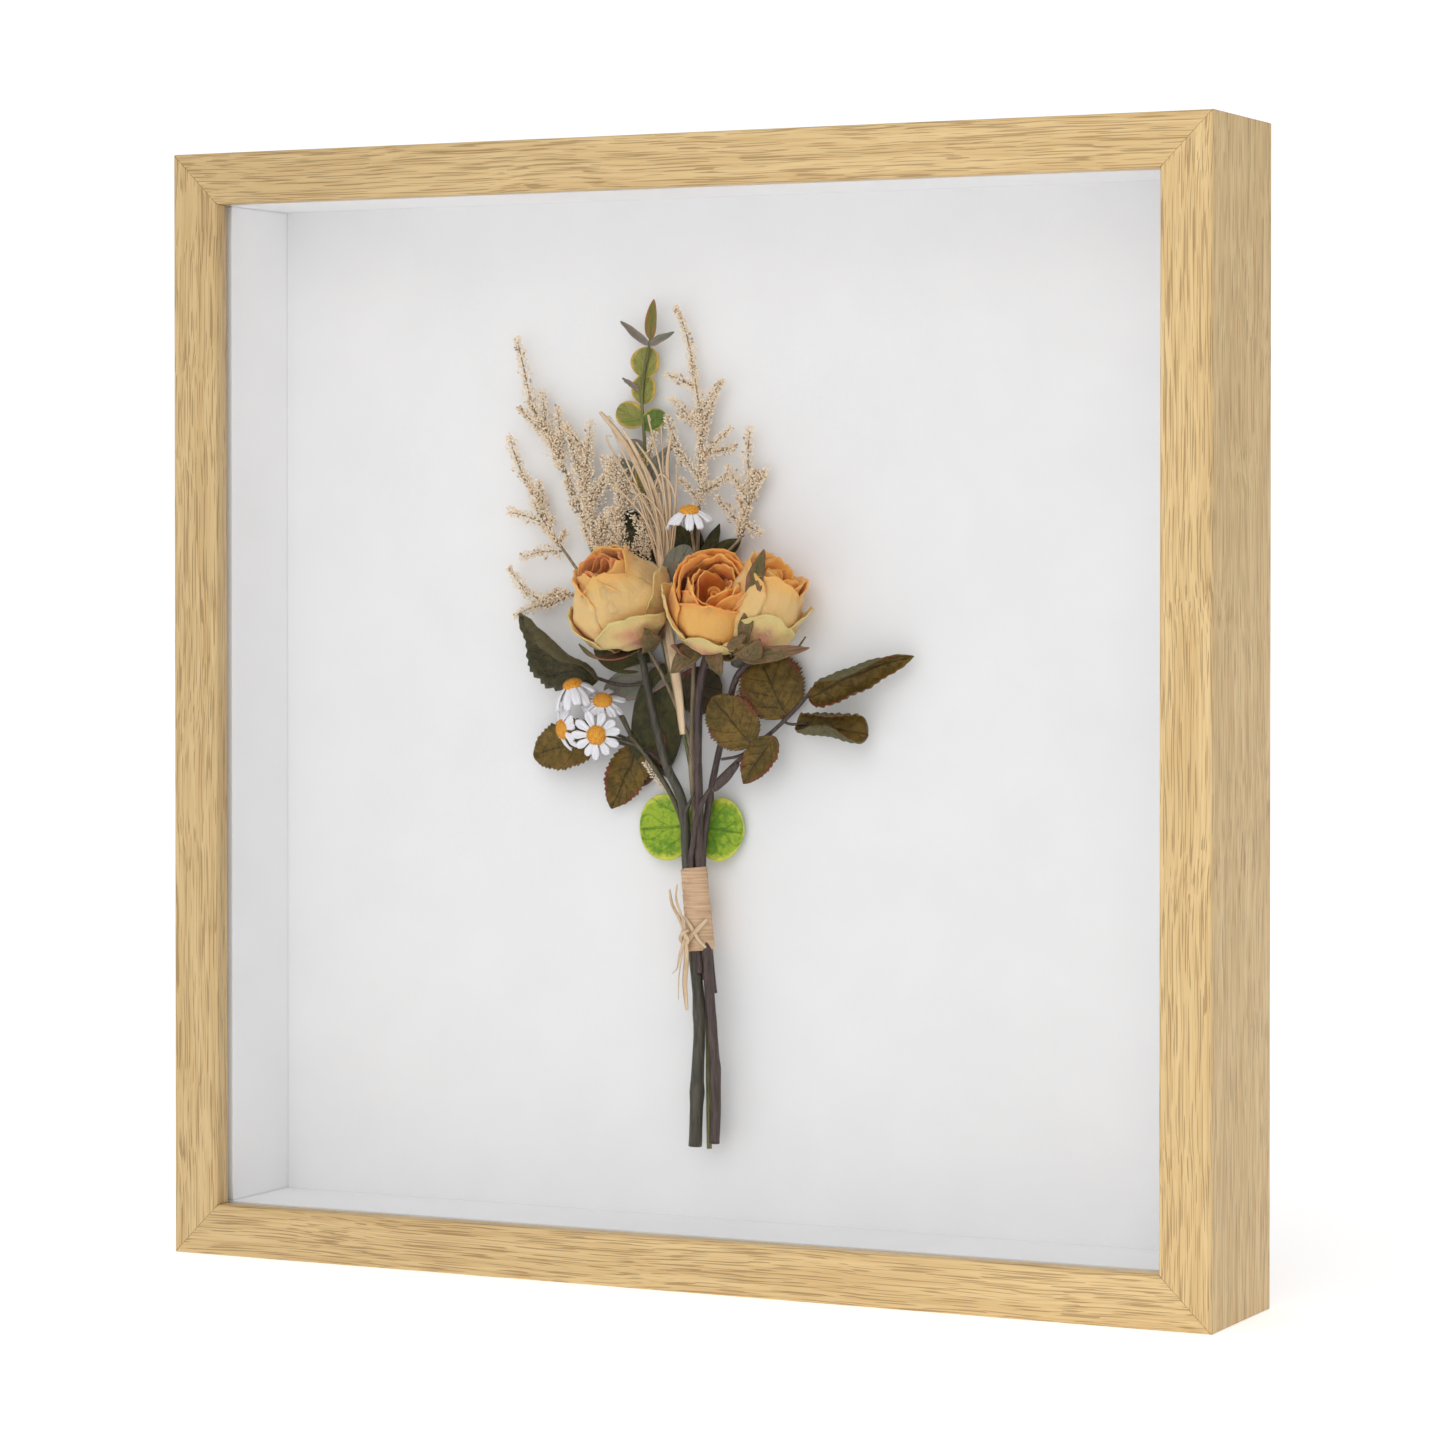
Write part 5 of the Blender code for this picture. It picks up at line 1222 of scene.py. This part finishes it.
def build_wrap(finishes):
    """Raffia wound round the stems: a taut band, crossing strands, a knot and loose tails."""
    band, strands = Shape(), Shape()
    axis = (WRAP_HIGH - WRAP_LOW).normalized()
    side = Vector((1.0, 0.0, 0.0))
    side = (side - axis * side.dot(axis)).normalized()
    other = axis.cross(side)
    rows = []
    length = (WRAP_HIGH - WRAP_LOW).length
    for i in range(BAND_STEPS + 1):
        v = i / BAND_STEPS
        row = []
        for k in range(BAND_SIDES):
            angle = 2 * math.pi * k / BAND_SIDES
            turns = (v * BAND_TURNS + angle / (2 * math.pi)) % 1.0
            edge = 0.16 * turns
            lumps = 0.28 * math.cos(3 * angle + 0.6 + v) + 0.16 * math.cos(5 * angle + 2 * v)
            end = 0.35 * max(0.0, 1 - min(v, 1 - v) / 0.03)
            r = BAND_RADIUS + edge + lumps - end + 0.10 * wobble((angle, v * 22, 0), 1.3)
            out = side * math.cos(angle) + other * math.sin(angle)
            row.append(WRAP_LOW + axis * (length * v) + out * r)
        rows.append(row)
    rows.insert(0, [p.lerp(WRAP_LOW, 0.25) + axis * 0.2 for p in rows[0]])
    rows.append([p.lerp(WRAP_HIGH, 0.25) - axis * 0.2 for p in rows[-1]])
    band.surface(rows, 0, closed=True)
    band.build("raffia_band", [finishes["raffia_band"]], ["raffia_wrap"], "raffia")
    front = (0.25, -1.0, 0.1)
    for points, width, twist in (
            ([(-9.0, 30.4, 96.4), (-7.0, 29.0, 97.6), (-3.6, 28.7, 101.0), (-1.2, 30.2, 104.0)], 1.6, 0.3),
            ([(-8.6, 30.0, 104.6), (-6.0, 28.7, 102.0), (-3.4, 28.8, 98.0), (-1.6, 30.0, 95.6)], 1.4, 0.2),
            ([(-7.8, 28.8, 99.6), (-9.4, 28.4, 104.0), (-11.6, 28.2, 108.0), (-12.4, 28.0, 112.4)], 1.0, 0.8),
            ([(-7.6, 28.6, 99.8), (-8.4, 28.0, 104.6), (-10.0, 27.6, 109.6), (-9.6, 27.4, 114.0)], 0.8, -0.6),
            ([(-7.2, 28.4, 98.0), (-6.8, 27.8, 92.0), (-7.2, 27.6, 85.0), (-6.6, 27.8, 77.4)], 1.7, 0.4),
            ([(-7.6, 28.4, 98.2), (-8.8, 27.6, 93.6), (-9.6, 27.4, 89.6), (-11.2, 27.6, 88.0)], 1.1, 1.4),
            ([(-7.4, 28.2, 97.6), (-8.4, 27.4, 91.4), (-9.0, 27.2, 86.0), (-9.2, 27.4, 80.4)], 0.4, 0.5),
            ([(-8.8, 28.8, 100.6), (-7.2, 27.5, 99.6), (-6.2, 27.5, 97.8), (-7.6, 28.6, 96.6),
              (-8.9, 28.6, 98.0), (-7.6, 27.3, 99.8), (-6.2, 28.2, 100.6)], 1.5, 0.6)):
        ribbon(strands, smooth_route(points), width, 0.28, front, twist=twist)
    strands.build("raffia_knot", [finishes["raffia_strip"]], slot="raffia")


WISPS = 12
WISP_SEED = 57


def build_raffia_strands(finishes):
    """Loose strips that hang down between the roses and fan out above them."""
    shape = Shape()
    facing = (0.25, -1.0, 0.05)
    for points, width, twist in (
            ([(-17.6, 34.4, 222.0), (-16.0, 31.8, 205.0), (-14.0, 29.4, 191.0), (-12.2, 30.0, 179.0),
              (-10.4, 30.2, 168.0), (-9.2, 30.2, 157.6)], 3.4, 0.25),
            ([(-19.4, 33.6, 226.0), (-16.8, 31.2, 206.0), (-15.0, 29.6, 190.0), (-13.0, 30.2, 176.0)],
             2.6, 0.3),
            ([(-16.4, 33.6, 208.0), (-19.8, 32.6, 224.0), (-25.6, 31.2, 238.0), (-30.8, 30.4, 246.0),
              (-36.4, 30.2, 252.0)], 1.9, 0.5),
            ([(-15.6, 33.4, 206.0), (-18.4, 32.2, 226.0), (-23.4, 30.6, 238.0), (-28.6, 29.6, 247.0)],
             1.6, -0.4),
            ([(-15.2, 33.4, 206.0), (-14.2, 32.0, 224.0), (-14.6, 31.0, 236.0), (-12.8, 30.4, 246.0)],
             1.2, 0.6),
            ([(-16.2, 33.2, 204.0), (-15.0, 31.6, 222.0), (-17.8, 30.4, 234.0), (-24.0, 29.4, 243.0)],
             1.1, 0.9),
            ([(-15.0, 33.2, 204.0), (-12.2, 31.8, 220.0), (-12.6, 30.8, 229.0), (-16.4, 30.2, 233.6),
              (-18.6, 30.6, 229.0)], 0.7, 0.6),
            ([(-17.0, 33.4, 206.0), (-21.6, 32.2, 222.0), (-24.8, 31.2, 230.0), (-29.6, 30.6, 232.6)],
             0.7, 0.6)):
        ribbon(shape, smooth_route(points, 9), width, 0.24, facing, twist=twist, ends=0.25)
    chance = random.Random(WISP_SEED)
    for _ in range(WISPS):
        foot = Vector((chance.uniform(-17.4, -14.2), 32.6, chance.uniform(196.0, 208.0)))
        head = Vector((chance.uniform(-34.0, -11.0), chance.uniform(29.0, 31.4),
                       chance.uniform(226.0, 250.0)))
        middle = foot.lerp(head, 0.5) + Vector((chance.uniform(0.5, 3.0), -0.6, 3.0))
        curl = head + Vector((chance.uniform(-3.0, 2.0), 0.0, chance.uniform(-5.0, 2.0)))
        ribbon(shape, smooth_route([foot, middle, head, curl], 8), chance.uniform(0.35, 0.8), 0.18,
               facing, twist=chance.uniform(-1.0, 1.0), ends=0.3)
    shape.build("raffia_strips", [finishes["raffia_strip"]], ["raffia_strands"], "raffia")


# ---------------------------------------------------------------- bouquet

# Colours out of 255 of each finish, then its numbers, in the order of the function that makes it

# Base, body, tip, blush, and how much blush
PETALS = {
    "petal_pale": ((234, 178, 106), (244, 194, 130), (244, 180, 100), (230, 154, 94), 0.2),
    "petal_warm": ((236, 170, 86), (246, 178, 94), (246, 164, 78), (232, 152, 80), 0.2),
    "petal_inner": ((168, 58, 14), (246, 150, 58), (250, 178, 90), (212, 96, 30), 0.2),
    "petal_blush": ((214, 112, 52), (244, 182, 106), (240, 152, 92), (226, 126, 70), 0.3),
    "petal_guard": ((212, 186, 112), (234, 196, 128), (216, 196, 130), (204, 104, 100), 0.65),
}

# Face, patches, veins, edge; how many veins, where the edge starts, roughness, and
# whether the edge is broken
LEAVES = {
    "sepal_leaf": ((98, 92, 52), (134, 104, 76), (122, 108, 72), (160, 98, 84), 5.0, 0.6, 0.7),
    "leaf_olive": ((84, 68, 18), (124, 96, 34), (44, 34, 16), (122, 62, 42), 7.0, 0.8),
    "leaf_under": ((86, 84, 58), (106, 98, 66), (124, 114, 82), (98, 90, 62), 7.0, 0.86, 0.7),
    "leaf_grey": ((54, 50, 26), (82, 72, 34), (34, 32, 20), (88, 84, 62), 6.0, 0.84, 0.46),
    "leaf_dark": ((52, 52, 24), (80, 76, 34), (88, 84, 48), (60, 50, 30), 6.0, 0.86, 0.55),
    "leaf_brown": ((60, 48, 26), (82, 68, 34), (46, 38, 24), (132, 70, 60), 6.0, 0.8),
    "leaf_green": ((100, 146, 34), (158, 184, 44), (70, 118, 38), (214, 216, 84), 3.0, 0.9, 0.42,
                   False),
    "euc_rim": ((128, 136, 58), (148, 144, 78), (158, 150, 92), (214, 172, 84), 3.0, 0.84, 0.5,
                False),
    "euc_deep": ((86, 112, 44), (104, 126, 54), (128, 138, 76), (196, 170, 84), 3.0, 0.88, 0.5,
                 False),
    "euc_bud": ((122, 128, 60), (142, 120, 66), (120, 110, 66), (186, 112, 76), 2.0, 0.7),
    "euc_sage": ((124, 128, 112), (142, 130, 118), (110, 112, 96), (160, 128, 120), 4.0, 0.8),
}

# Dark, light and blotches
STEMS = {
    "stem_green": ((52, 49, 40), (88, 82, 68), (68, 68, 50)),
    "stem_fresh": ((84, 88, 46), (124, 124, 72), (98, 96, 58)),
    "stem_brown": ((54, 40, 38), (92, 74, 68), (74, 58, 50)),
    "stem_olive": ((60, 54, 38), (104, 96, 66), (84, 76, 50)),
    "twig": ((118, 100, 76), (160, 140, 110), (188, 168, 138)),
}

# Pale, deep, scale and roughness
GRAINS = {
    "flock": ((255, 241, 218), (232, 206, 172), 1900.0),
    # The darker fleck grains of the statice are painted shade for the dark gaps between its bracts.
    "fleck": ((206, 178, 146), (150, 122, 94), 1900.0),
    "daisy_eye": ((240, 176, 62), (206, 128, 34), 2200.0, 0.75),
}

# Pale, deep, how many lines, and whether it is wound
RAFFIA = {
    "raffia_strip": ((238, 214, 180), (198, 164, 124)),
    "raffia_band": ((218, 186, 150), (184, 146, 112), 190.0, True),
}


def finish_table(make, table):
    """Finishes by name, with each colour of the table turned into the linear one of a shader."""
    return {name: make(name, *[srgb(*part) if isinstance(part, tuple) else part for part in parts])
            for name, parts in table.items()}


def bouquet_finishes():
    return {**finish_table(petal_finish, PETALS), **finish_table(leaf_finish, LEAVES),
            **finish_table(stem_finish, STEMS), **finish_table(grain_finish, GRAINS),
            **finish_table(raffia_finish, RAFFIA), "daisy_petal": daisy_petal_finish()}


def build_bouquet():
    finishes = bouquet_finishes()
    build_roses(finishes)
    build_rose_stems(finishes)
    build_left_leaves(finishes)
    build_right_spray(finishes)
    build_eucalyptus(finishes)
    build_top_leaves(finishes)
    build_statice(finishes)
    build_daisies(finishes)
    build_daisy_stems(finishes)
    build_wrap(finishes)
    build_raffia_strands(finishes)


# ---------------------------------------------------------------- studio

def build_floor():
    """Pale floor sweeping away on all sides."""
    size = FLOOR_HALF_SIDE
    mesh = bpy.data.meshes.new("floor")
    mesh.from_pydata([(-size, -size, 0), (size, -size, 0), (size, size, 0), (-size, size, 0)], [],
                     [(0, 1, 2, 3)])
    f = Finish("floor_paper", 0.9)
    mottle = f.noise(f.object_place(), 6.0, 2.0)
    f.set("Base Color", f.mix(mottle, (0.96, 0.96, 0.96, 1.0), (0.94, 0.94, 0.94, 1.0)))
    f.set("Emission Color", (1.0, 1.0, 1.0, 1.0))
    f.set("Emission Strength", FLOOR_GLOW)
    mesh.materials.append(f.material)
    floor = bpy.data.objects.new("floor", mesh)
    bpy.context.scene.collection.objects.link(floor)


def add_sun(name, place, strength, softness):
    light = bpy.data.lights.new(name, "SUN")
    light.energy = strength
    light.angle = math.radians(softness)
    lamp = bpy.data.objects.new(name, light)
    lamp.location = place
    lamp.rotation_euler = Vector(place).to_track_quat("Z", "Y").to_euler()
    bpy.context.scene.collection.objects.link(lamp)


def build_studio():
    scene = bpy.context.scene
    world = bpy.data.worlds.new("studio")
    world.use_nodes = True
    nodes, links = world.node_tree.nodes, world.node_tree.links
    sky = nodes["Background"]
    sky.inputs["Color"].default_value = (1.0, 1.0, 1.0, 1.0)
    seen = nodes.new("ShaderNodeLightPath")
    level = nodes.new("ShaderNodeMapRange")
    level.inputs["To Min"].default_value = SKY_LIGHT
    level.inputs["To Max"].default_value = SKY_SEEN
    links.new(seen.outputs["Is Camera Ray"], level.inputs["Value"])
    links.new(level.outputs[0], sky.inputs["Strength"])
    scene.world = world
    for name, (place, strength, softness) in SUNS.items():
        add_sun(name, place, strength, softness)
    scene.view_settings.view_transform = "Standard"
    scene.view_settings.look = "None"
    data = bpy.data.cameras.new("camera")
    data.sensor_width = 36.0
    data.lens = CAMERA_LENS
    data.shift_y = CAMERA_SHIFT
    data.clip_start, data.clip_end = 0.05, 50.0
    camera = bpy.data.objects.new("camera", data)
    camera.location = CAMERA_PLACE
    camera.rotation_euler = (math.radians(90 - CAMERA_DIP), 0.0, math.radians(CAMERA_TURN))
    scene.collection.objects.link(camera)
    scene.camera = camera


dress_frame()
build_papers(board_finish("joint_paper", srgb(244, 244, 245), 0.25))
build_mitre_lines(oak_finish("oak_glue_line", 2))
build_bouquet()
build_floor()
build_studio()
